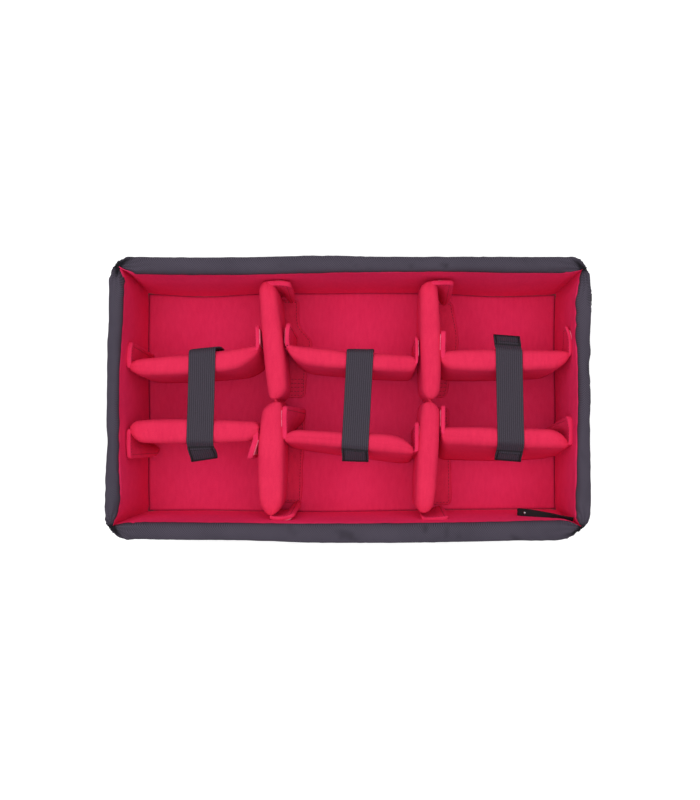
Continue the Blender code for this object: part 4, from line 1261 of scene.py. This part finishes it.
def makeFlap(name, pad, label, atEnd, side, flapBody, low, high, hinge):
    values = flapValues
    rise, inTop, inFoot, tapeShows, shift, longer, thick = flapShapes[name]
    run = pad["run"]
    end = pad["end"] if atEnd else pad["start"]
    inwards = -1 if atEnd else 1
    half = pad["endHalf"]
    thickness = thick * mm
    gap = (values["gap"] + shift) * mm + thickness / 2
    length = (values["length"] + longer) * mm
    tip = side * padShapes[label]["tips"][1 if atEnd else 0] * half
    middle = middleOf(pad, end)
    opened = math.radians(flapOpenings.get(name, 0.0))
    topPath = flapPath(tip, half, inTop * mm, gap, length)
    footLength = length + footLengths.get(name, 0.0) * mm
    footPath = flapPath(tip, half, inFoot * mm, gap, footLength, footTurns.get(name, 0.3))
    count = len(topPath)
    footCorner = footCorners.get(name, values["footCorner"])

    def planPoint(share, height, offset=0.0):
        # a point of the flap's middle surface, or offset from it towards the neighbour
        up = (height - low) / (high - low)
        k = share * (count - 1)
        i = min(int(k), count - 2)
        places = []
        for path in (footPath, topPath):
            places.append([mixed(before, after, k - i) for before, after in zip(path[i], path[i + 1])])
        inner = mixed(places[0][0], places[1][0], up)
        outer = mixed(places[0][1], places[1][1], up)
        wave = values["wave"] * mm * ripple(outer, height, end, 0.022, len(name))
        inner += wave * smooth((outer - half) / (10 * mm))
        if outer > half and opened:
            beyond = outer - half
            inner += beyond * math.sin(opened)
            outer = half + beyond * math.cos(opened)
        inner -= offset
        along = end + inwards * inner
        across = middle + side * outer + leanOf(pad, height)
        return (along, across, height) if run == 0 else (across, along, height)

    def edgesAt(share):
        away = (1 - share) * length * values["wholeRun"]
        reach, fall = values["topCorner"]
        top = high + rise * mm - roundedOff(away, reach * mm, fall * mm)
        top -= values["rootFall"] * mm * (1 - smooth(share / values["rootShare"]))
        reach, fall = footCorner
        if name in footBends:
            foot = low + fall * mm * max(0.0, 1 - away / (reach * mm)) ** footBends[name]
        else:
            foot = low + roundedOff(away, reach * mm, fall * mm)
        return foot, top

    rings = []
    for k in range(count):
        share = k / (count - 1)
        foot, top = edgesAt(share)
        thin = thickness / 2 * min(1.0, 0.2 + share * 4) * (1 if k < count - 1 else values["edgeThin"])
        ring = []
        for across, height in padRing(thin, foot, top, values["topRound"] * mm, values["ring"]):
            ring.append(planPoint(share, height, across))
        rings.append(ring)
    flap = tubePiece(name + "_flap_cloth", rings, cloths["flap_pile"], turnCaps=True)
    tidyMesh(flap)
    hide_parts(flapBody)
    start, stop = Vector(hinge), Vector(hinge)
    start[1 - run] -= side * 3 * mm
    stop[1 - run] += side * 3 * mm
    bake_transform(flap)
    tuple(start)
    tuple(stop)
    tape = makeHookTape(name, planPoint, edgesAt, thickness / 2, flapBody, tapeShows)
    # the seam that follows the flap's free outline, on the face that can be seen
    inset = values["seamInset"] * mm
    shares = np.linspace(values["seamStart"], 1 - inset / (length * values["wholeRun"]), 16)
    seam = []
    for share in shares:
        seam.append(planPoint(share, edgesAt(share)[1] - inset, -thickness / 2))
    foot, top = edgesAt(shares[-1])
    heights = np.linspace(top - inset, foot + inset, 14)
    seam += [planPoint(shares[-1], height, -thickness / 2) for height in heights]
    for share in shares[::-1]:
        seam.append(planPoint(share, edgesAt(share)[0] + inset, -thickness / 2))
    stitches = makeStitches(name + "_flap_stitches", [seam], cloths["red_thread"], flapBody,
                            "red_loop_cloth", flapThread)
    # its flat cut: the longer path by the height, and the area that the outline leaves
    tops, feet = [[math.dist(*pair) for pair in zip(path, path[1:])] for path in (topPath, footPath)]
    heights = [np.diff(edgesAt((k + 0.5) / (count - 1)))[0] for k in range(count - 1)]
    area = sum((top + foot) / 2 * tall for top, foot, tall in zip(tops, feet, heights))
    max(sum(tops), sum(feet))


flapThread = {"length": 2.4, "gap": 0.9, "radius": 0.32, "sides": 5}


def makeHookTape(name, planPoint, edgesAt, half, flapBody, shows):
    # the rough tape on the face that grips the neighbour
    values = flapValues
    near = half - values["tapeSink"] * mm
    far = near + values["tapeThickness"] * mm
    columns, rows = 7, 16
    points = []
    for j in range(rows + 1):
        ring = []
        for depth, order in ((near, range(columns + 1)), (far, range(columns, -1, -1))):
            for i in order:
                share = mixed(*values["tapeShares"], i / columns)
                foot, top = edgesAt(share)
                bottom = foot + values["tapeFoot"] * mm
                height = mixed(bottom, top - values["tapeTops"][shows] * mm, j / rows)
                ring.append(planPoint(share, height, depth))
        points.append(ring)
    tape = tubePiece(name + "_hook_tape", points, cloths["hook_tape_weave"])
    tidyMesh(tape)
    return place(tape, flapBody, "hook_tape")


def jointTo(body):
    return next(joint for joint in frame["joints"] if joint["child"] == body)


for name in ("left_long", "right_long"):
    for end in ("front", "rear"):
        flapBody = name + "_" + end + "_end_flap"
        low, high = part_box(flapBody)
        label = name + "_" + end
        makeFlap(label + "_end", pads[label], label, end == "rear", 1, flapBody,
                 low.z, high.z, jointTo(flapBody)["pos_m"])
for label, pad in pads.items():
    if "long" in label:
        continue
    for end in ("left", "right"):
        flapBody = label + "_" + end + "_flap"
        low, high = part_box(flapBody)
        side = 1 if high.y > middleOf(pad, pad["end"]) + 0.02 else -1
        makeFlap(label + "_" + end, pad, label, end == "right", side, flapBody,
                 low.z, high.z, jointTo(flapBody)["pos_m"])
print("flaps made")


# Floor flaps and the folds between the long dividers' pads

floorFlapValues = {
    "thickness": 1.9,
    "cornerRound": 6.0,
    "stations": 40,
    "topPoints": 12,
    "curl": 1.2,
    "seamInset": 3.0,
    "rowPitch": 4.6,
    "rows": 5,
    "underPad": 6.0,            # how far it reaches in under its pad
    "edgeWave": 0.7,
    "footInset": 0.4,
    # how much further each flap's free edge lies than its solid's, from its front to its rear,
    # and how much longer it is at its front and its rear end
    "left_long_front": ((-6.0, -5.5, -5.0, -4.0, -3.0, -2.1), (-5.0, -8.0)),
    "left_long_rear": ((-1.4, -0.9, -0.1, 2.4, 5.8, -6.7, -9.0, -8.5), (4.0, 0)),
    "right_long_front": ((3.0, 3.0, 2.5, 2.0, 1.0, 0.5), (-2.6, 4.0)),
    "right_long_rear": ((-2.3, -0.4, 1.4, 4.8, 9.9, 11.0, 9.2, 6.3, 4.3), (4.0, -2.0)),
}
neckValues = {
    "fill": 0.1, "reach": 7.0, "low": 0.118, "dip": 6.0, "endHalf": 5.0, "waist": 1.5, "twist": 1.6,
    "stations": 18, "pinchPower": 1.3, "edgeRound": 3.0, "swing": 1.2,
}


def makeFloorFlap(name, pad, label, atFront, body, seed):
    values = floorFlapValues
    low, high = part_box(name)
    edges, (longerFront, longerRear) = values[label]
    start, end = low.y - longerFront * mm, high.y + longerRear * mm
    base = low.z
    thickness = values["thickness"] * mm
    innerAt = {}
    rings = []

    def outerAt(y):
        return high.x + curveThrough(edges, (y - start) / (end - start)) * mm

    def top(x, y):
        edge = min(outerAt(y) - x, y - start, end - y)
        lift = values["curl"] * mm * max(0.0, ripple(x, y, seed, 0.04, seed))
        lift *= smooth((x - innerAt["x"]) / (12 * mm))
        return base + lift + thickness * math.sqrt(max(0.02, 1 - (1 - min(edge / thickness, 1.0)) ** 2))

    for k in range(values["stations"] + 1):
        plain = k / values["stations"]
        y = mixed(start, end, crowded(plain, padValues["crowding"]))
        along = min(max(y, pad["start"]), pad["end"])
        inner = middleOf(pad, along) + halfOf(pad, along) - values["underPad"] * mm
        innerAt["x"] = inner
        near = min(y - start, end - y)
        plainOuter = outerAt(y)
        outer = plainOuter - roundedOff(near, values["cornerRound"] * mm, values["cornerRound"] * mm)
        outer += values["edgeWave"] * mm * ripple(0, y, seed, 0.02, seed)
        ring = [(inner, y, base), (outer - values["footInset"] * mm, y, base)]
        for i in range(values["topPoints"] + 1):
            x = mixed(outer, inner, (i / values["topPoints"]) ** 1.5)
            ring.append((x, y, top(x + (plainOuter - outer), y)))
        rings.append(ring)
    flap = tubePiece(name + "_cloth", rings, cloths["flap_pile"])
    tidyMesh(flap)
    place(flap, body, "red_loop_cloth", name)

    # a seam along the free edge, and rows across the flap where its tape is sewn on
    inset = values["seamInset"] * mm

    def seamPoint(back, y):
        x = outerAt(y) - inset - back
        innerAt["x"] = x - 12 * mm
        return (x, y, top(x, y) + 0.1 * mm)

    lines = [[seamPoint(0, y) for y in np.linspace(start + inset, end - inset, 60)]]
    neckSide, farSide = (end, start) if atFront else (start, end)
    towards = -1 if atFront else 1
    rows = [neckSide + towards * (inset + row * values["rowPitch"] * mm) for row in range(values["rows"])]
    for y in rows + [farSide - towards * inset]:
        lines.append([seamPoint(back, y) for back in np.linspace(15 * mm, 0, 8)])
    stitches = makeStitches(name + "_stitches", lines, cloths["red_thread"], body, "red_loop_cloth")


def makeNeckFold(label, front, rear, body, seed):
    # the cover, drawn in between its two pads
    values = neckValues
    start, end = front["end"] - values["reach"] * mm, rear["start"] + values["reach"] * mm
    rings = []
    for k in range(values["stations"] + 1):
        share = k / values["stations"]
        y = mixed(start, end, share)
        pinch = math.sin(math.pi * share) ** values["pinchPower"]
        half = mixed(values["endHalf"], values["waist"], pinch) * mm
        middle = (middleOf(front, front["end"]) + middleOf(rear, rear["start"])) / 2
        middle += values["twist"] * mm * math.sin(2 * math.pi * share)
        high = values["low"] - values["dip"] * mm * pinch
        shape = dict(padValues, belly=0.0)
        ring = []
        for across, height in padRing(half, front["bottom"], high, values["edgeRound"] * mm, shape):
            swing = values["swing"] * mm * ripple(across, y * 2, height, 0.012, seed)
            ring.append((middle + across + swing, y, height))
        rings.append(ring[::-1])
    fold = tubePiece(label + "_neck_fold", rings, cloths["divider_pile"])
    tidyMesh(fold)
    place(fold, body, "red_loop_cloth")


for number, name in enumerate(("left_long", "right_long")):
    for end in ("front", "rear"):
        label = name + "_" + end
        makeFloorFlap(label + "_floor_flap", pads[label], label, end == "front", name + "_divider",
                      3.3 * number + (end == "rear"))
    makeNeckFold(name, pads[name + "_front"], pads[name + "_rear"], name + "_divider", number + 0.5)
print("floor flaps and folds made")


# Straps: a webbing band over a bay's two dividers, gripping the front one by a hook patch

strapValues = {
    "width": 28.5,
    "thickness": 1.4,
    "patchThickness": 1.0,
    "ribs": 13,
    "ribHeight": 0.12,
    "selvage": 0.7,
    "wave": 0.35,
    "hemStep": 0.6,
    # painted shade along the hem's sewn outline, set by the one below
    "seamShade": (0.4, 0.9),    # how far from the seam it starts to fade, and over how much
    "across": 66,
    "bendRadius": 7.0,
    "tabReaches": {"left": 17.0, "mid": 13.5, "right": 16.5},
    "solidReach": 18.0,
    "rearTab": 24.0,
    "flaredTab": 19.0,
    "sag": 1.2,
    "step": 1.6,                # between cross lines along the band
    "hems": {"left": 19.0, "mid": 18.0, "right": 14.0},     # length of the folded, doubled end
    "hemThickness": 1.3,
    "seamInset": 2.2,
    "flared": ("right",),
    # how far the front corner lies from the solid's, rearward and aside, and how far the front
    # tab and the rear tab turn aside
    "frontShifts": {"left": (-2.4, -3.9), "mid": (1.6, 1.3), "right": (0.8, 0.6)},
    "frontSkews": {"left": 2.0, "mid": 1.0, "right": -1.6},
    "rearSkews": {"left": 5.5, "mid": 0.8, "right": -0.9},
    "rearShifts": {"left": (0, 2.8), "mid": (-2.0, 0), "right": (0, 0)},
    # the slant of its cross line at its two ends, where that differs
    "rearSlants": {"mid": 0.0, "right": -0.08},
    "frontSlants": {"left": 0.15, "mid": -0.03, "right": -0.08},
}


def strapRoute(bay, values):
    # the band's middle line as (x, y, z), with the slant of its cross line, from the rear tab's end
    hinge = Vector(jointTo(bay + "_strap")["pos_m"])
    axis = jointTo(bay + "_strap")["axis"]
    rearSlant = axis[1] / axis[0]
    points = np.array([v.co for v in frame["nodes"][bay + "_strap"].data.vertices])
    lowest = points[points[:, 2] < points[:, 2].min() + 1.3 * mm]
    middleX = (lowest[:, 0].min() + lowest[:, 0].max()) / 2
    right, left = lowest[lowest[:, 0] > middleX].mean(0), lowest[lowest[:, 0] < middleX].mean(0)
    frontSlant = (right[1] - left[1]) / (right[0] - left[0])
    tabEnd = (right + left) / 2
    radius, reach = values["bendRadius"] * mm, values["tabReaches"][bay] * mm
    cos = math.cos(math.pi / 4)
    shiftY, shiftX = [value * mm for value in values["frontShifts"][bay]]
    rearY, rearX = [value * mm for value in values["rearShifts"][bay]]
    cornerY, cornerZ = tabEnd[1] + values["solidReach"] * mm + shiftY, tabEnd[2] + values["solidReach"] * mm
    frontY = cornerY + radius * cos
    low = hinge.z - radius
    route = []
    flared = bay in values["flared"]
    tab = (values["flaredTab"] if flared else values["rearTab"]) * mm
    turn = math.pi / 4 if flared else math.pi / 2
    lean = leanOf(pads[bay + "_rear"], 0.1) - leanOf(pads[bay + "_rear"], 0.1 - tab)
    for k in range(8):
        away = tab * (1 - k / 8)
        y = hinge.y + radius * math.sin(turn) + away * math.cos(turn) - (0 if flared else lean * (1 - k / 8))
        route.append((y, low + radius * math.cos(turn) - away * math.sin(turn)))
    for k in range(7):
        angle = turn * (1 - k / 6)
        route.append((hinge.y + radius * math.sin(angle), low + radius * math.cos(angle)))
    for k in range(1, 24):
        share = k / 24
        sag = values["sag"] * mm * math.sin(math.pi * share)
        route.append((mixed(hinge.y, frontY, share), hinge.z - sag))
    for k in range(7):
        angle = math.pi / 4 * k / 6
        route.append((frontY - radius * math.sin(angle), low + radius * math.cos(angle)))
    for k in range(1, 9):
        away = reach * k / 8
        route.append((cornerY - away, cornerZ - away))
    marks = np.concatenate([[0], np.cumsum(np.hypot(*np.diff(np.array(route), axis=0).T))])
    count = int(marks[-1] / (values["step"] * mm))
    line = []
    for k in range(count + 1):
        at = marks[-1] * k / count
        y = float(np.interp(at, marks, [p[0] for p in route]))
        z = float(np.interp(at, marks, [p[1] for p in route]))
        share = min(max((hinge.y - y) / (hinge.y - cornerY), -0.2), 1.2)
        forward = min(max((hinge.y - y) / (hinge.y - cornerY + reach), 0), 1)
        x = mixed(hinge.x + rearX, middleX, forward) + shiftX * min(max(share, 0), 1)
        y += rearY * smooth((tab + 14 * mm - at) / (12 * mm))
        x += values["frontSkews"][bay] * mm * smooth((at - (marks[-1] - reach - 4 * mm)) / reach)
        x += values["rearSkews"][bay] * mm * smooth((tab + 5 * mm - at) / (9 * mm))
        slant = mixed(rearSlant, frontSlant, smooth(share))
        atFront = smooth((at - marks[-1] + reach * 1.4) / reach)
        slant = mixed(slant, values["frontSlants"].get(bay, slant), atFront)
        atRear = smooth((tab + 16 * mm - at) / (12 * mm))
        slant = mixed(slant, values["rearSlants"].get(bay, slant), atRear)
        line.append((at, x, y, z, slant))
    return line, hinge


def makeHookPatch(bay, line, bandPoint):
    # the rough patch under the front tab
    values = strapValues
    total = line[-1][0]
    low, high = total - (values["tabReaches"][bay] * 1.3) * mm, total - 1.5 * mm
    rows = [i for i, entry in enumerate(line) if low <= entry[0] <= high]
    half = values["width"] / 2 * mm - 1.2 * mm
    near = -values["thickness"] / 2 * mm + 0.1 * mm
    grid = []
    for i in rows:
        across = list(np.linspace(-half, half, 10))
        grid.append([bandPoint(i, a, near) for a in across] +
                    [bandPoint(i, a, near - values["patchThickness"] * mm) for a in across[::-1]])
    patch = tubePiece(bay + "_hook_patch", grid, cloths["hook_patch_tape"])
    tidyMesh(patch)
    return place(patch, bay + "_strap", "hook_tape", bay + "_strap_hook_patch")


strapThread = {"length": 2.6, "gap": 0.6, "radius": 0.42, "sides": 5}


def makeStrap(bay):
    values = strapValues
    line, hinge = strapRoute(bay, values)
    width, thickness = values["width"] * mm, values["thickness"] * mm
    total = line[-1][0]

    def bandPoint(index, across, lift):
        at, x, y, z, slant = line[index]
        before, after = line[max(index - 1, 0)], line[min(index + 1, len(line) - 1)]
        ahead = Vector((0, after[2] - before[2], after[3] - before[3])).normalized()
        normal = Vector((0, ahead.z, -ahead.y))
        wave = values["wave"] * mm * ripple(across, at, 0, 0.02, len(bay)) * smooth(at / 0.03)
        wave *= smooth((total - at) / 0.03)
        return Vector((x + across, y + slant * across, z)) + normal * (lift + wave)

    hem, flared = values["hems"][bay] * mm, bay in values["flared"]
    rings, maps, shades = [], [], []
    count = values["across"]
    for index, (at, *rest) in enumerate(line):
        doubled = values["hemThickness"] * mm * ramp(hem - (total - at), 0, values["hemStep"])
        # painted shade along the hem's sewn outline, where its step keeps the light off, on its upper face
        hemLine = min(abs(total - hem - at), abs(total - 2.0 * mm - at))
        inHem = at > total - hem
        if flared:
            doubled += values["hemThickness"] * mm * ramp(hem - at, 0, values["hemStep"])
            hemLine = min(hemLine, abs(hem - at), abs(2.0 * mm - at))
            inHem = inHem or at < hem
        upper, lower, upperMaps, upperShades = [], [], [], []
        for k in range(count + 1):
            share = k / count
            across = (share - 0.5) * width
            fromEdge = min(share, 1 - share) * width
            selvage = math.sqrt(max(0.05, 1 - (1 - min(fromEdge / (values["selvage"] * mm), 1.0)) ** 2))
            rib = values["ribHeight"] * mm * (abs(math.sin(math.pi * values["ribs"] * share)) - 0.5)
            lift = (thickness / 2 + rib) * selvage
            upper.append(bandPoint(index, across, lift + doubled))
            lower.append(bandPoint(index, across, -lift))
            upperMaps.append((share * width, at))
            side = abs(fromEdge - values["seamInset"] * mm) if inHem else 1.0
            upperShades.append(1 - ramp(min(hemLine, side), *values["seamShade"]))
        rings.append(upper + lower[::-1])
        maps += upperMaps + upperMaps[::-1]
        shades += upperShades + [0.0] * len(lower)
    grid = np.array(rings)
    size = grid.shape[1]
    faces = gridFaces(*grid.shape[:2], around=True)
    for row, turned in ((0, True), (grid.shape[0] - 1, False)):
        for k in range(count):
            face = (row * size + k, row * size + k + 1, row * size + size - 2 - k, row * size + size - 1 - k)
            faces.append(face[::-1] if turned else face)
    strap = meshPiece(bay + "_strap_band", grid.reshape(-1, 3), [face[::-1] for face in faces],
                      cloths["strap_webbing"], maps)
    shadeFolds(strap, shades)
    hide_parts(bay + "_strap", bay + "_strap_rear_tab")
    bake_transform(strap)
    on = [makeHookPatch(bay, line, bandPoint)]

    # a box of stitches round each doubled end
    inset = values["seamInset"] * mm
    edge = width / 2 - inset
    lift = thickness / 2 + values["hemThickness"] * mm + 0.1 * mm
    boxes = [("_strap_stitches", "_strap", total - hem + 1.5 * mm, total - inset * 0.7)]
    if flared:
        boxes.append(("_rear_tab_stitches", "_rear_divider", inset * 0.7, hem - 1.5 * mm))
    for ending, body, first, last in boxes:
        rows = [i for i, entry in enumerate(line) if first <= entry[0] <= last]
        box = [[bandPoint(i, side * edge, lift) for i in rows] for side in (-1, 1)]
        for i in (rows[0], rows[-1]):
            box.append([bandPoint(i, across, lift) for across in np.linspace(-edge, edge, 24)])
        on.append(makeStitches(bay + ending, box, cloths["charcoal_thread"], bay + body,
                               "charcoal_webbing", strapThread))


for bay in ("left", "mid", "right"):
    makeStrap(bay)
print("straps made")


# Pull loops: a narrow black tape, folded double, inside the front right corner and outside the right wall

loopValues = {
    "tape": 8.0,
    "thickness": 0.9,
    "across": 14,
    "foldRadius": 1.8,
    "step": 1.2,
    "innerRun": 52.0,
    "drift": 4.5,               # how far the inner loop's fold stands off the front wall
    "innerFall": 45.0,
    "outerFall": 45.0,
    "outerRun": 7.0,            # how far the outer loop's fold stands off the wall
    "edgeRib": 0.25,
    "legGap": 0.55,             # between the middle and each leg, beside the thickness
    "parting": (0.35, 0.6),     # from where and over how much of their length the legs part
    "rivetRadius": 1.4,
    "rivetHeight": 0.8,
    "rivetBack": 8.0,           # from the loop's fold
}


def loopRoute(run, fall, values):
    # out along one leg, round the fold and back, as (across, down)
    length = math.hypot(run, fall) * mm
    fold = values["foldRadius"] * mm
    near = values["thickness"] * mm * values["legGap"]
    partFrom, partOver = values["parting"]
    leg, bend = [], []
    count = int(length / (values["step"] * mm))
    for k in range(count):
        share = k / count
        leg.append(((length - fold) * share, mixed(near, fold, smooth((share - partFrom) / partOver))))
    for k in range(9):
        angle = math.pi * (k / 8 - 0.5)
        bend.append((length - fold + fold * math.cos(angle), fold * math.sin(angle)))
    route = [(away, -spread) for away, spread in leg] + bend + leg[::-1]
    ahead = Vector((run, fall)).normalized()
    side = Vector((-ahead.y, ahead.x))
    return [ahead * a + side * b for a, b in route]


def makeLoop(name, node, run, fall, twist, drift=0.0, inwardX=-1):
    values = loopValues
    sewn = Vector(jointTo(node)["pos_m"])
    route = loopRoute(run, fall, values)
    width, thickness = values["tape"] * mm, values["thickness"] * mm
    middle = len(route) / 2
    count = values["across"]
    rings, maps = [], []
    for index, point in enumerate(route):
        before, after = route[max(index - 1, 0)], route[min(index + 1, len(route) - 1)]
        ahead = (after - before).normalized()
        normal = Vector((-ahead.y, ahead.x))
        farOut = 1 - abs(index - middle) / middle
        turn = twist * (1 - smooth(farOut * 1.6))
        upper, lower = [], []
        for k in range(count + 1):
            share = k / count
            across = (share - 0.5) * width
            edge = min(share, 1 - share)
            lift = thickness / 2 * (1 + values["edgeRib"] * (edge < 0.16) - 0.6 * (edge < 0.01))
            for row, sign in ((upper, 1), (lower, -1)):
                flat = point + normal * sign * lift
                y = sewn.y + across * math.cos(turn) + drift * smooth(farOut)
                z = sewn.z - flat.y + across * math.sin(turn)
                row.append((sewn.x + inwardX * flat.x, y, z))
        rings.append(upper + lower[::-1])
        mapRow = [(k / count * width, index * values["step"] * mm) for k in range(count + 1)]
        maps += mapRow + mapRow[::-1]
    loop = tubePiece(name, rings, cloths["loop_tape"], maps)
    editMesh(loop, turn=True)
    place(loop, node, "black_tape", node)

    # the place for a rivet, on the upper leg near the fold, and the way it faces
    spot = (len(route) - 9) // 2 - round(values["rivetBack"] / values["step"])
    ahead = (route[spot + 1] - route[spot - 1]).normalized()
    flat = route[spot] + Vector((ahead.y, -ahead.x)) * thickness / 2
    y = sewn.y + drift * smooth(1 - abs(spot - middle) / middle)
    centre = Vector((sewn.x + inwardX * flat.x, y, sewn.z - flat.y))
    return centre, Vector((inwardX * ahead.y, 0, ahead.x))


def makeRivet(node, centre, outward):
    # a domed head on the tape
    values = loopValues
    aside = outward.orthogonal().normalized()
    above = outward.cross(aside)
    sides, levels = 20, 6
    turns = [2 * math.pi * k / sides for k in range(sides)]
    rings = []
    for level in range(levels):
        angle = math.pi / 2 * level / levels
        size = values["rivetRadius"] * mm * math.cos(angle)
        middle = centre + outward * (values["rivetHeight"] * mm * math.sin(angle) - 0.1 * mm)
        rings.append([middle + (aside * math.cos(turn) + above * math.sin(turn)) * size for turn in turns])
    rivet = tubePiece("loop_rivet_head", rings, rivetMetal)
    tidyMesh(rivet)
    place(rivet, node, "rivet_metal", "loop_rivet")


rivetPlace, rivetFacing = makeLoop("inner_pull_loop_tape", "inner_pull_loop", loopValues["innerRun"],
                                   loopValues["innerFall"], 0.9, loopValues["drift"] * mm)
makeRivet("inner_pull_loop", rivetPlace, rivetFacing)
makeLoop("outer_pull_loop_tape", "outer_pull_loop", loopValues["outerRun"], loopValues["outerFall"], 0.0,
         inwardX=1)
print("pull loops made")
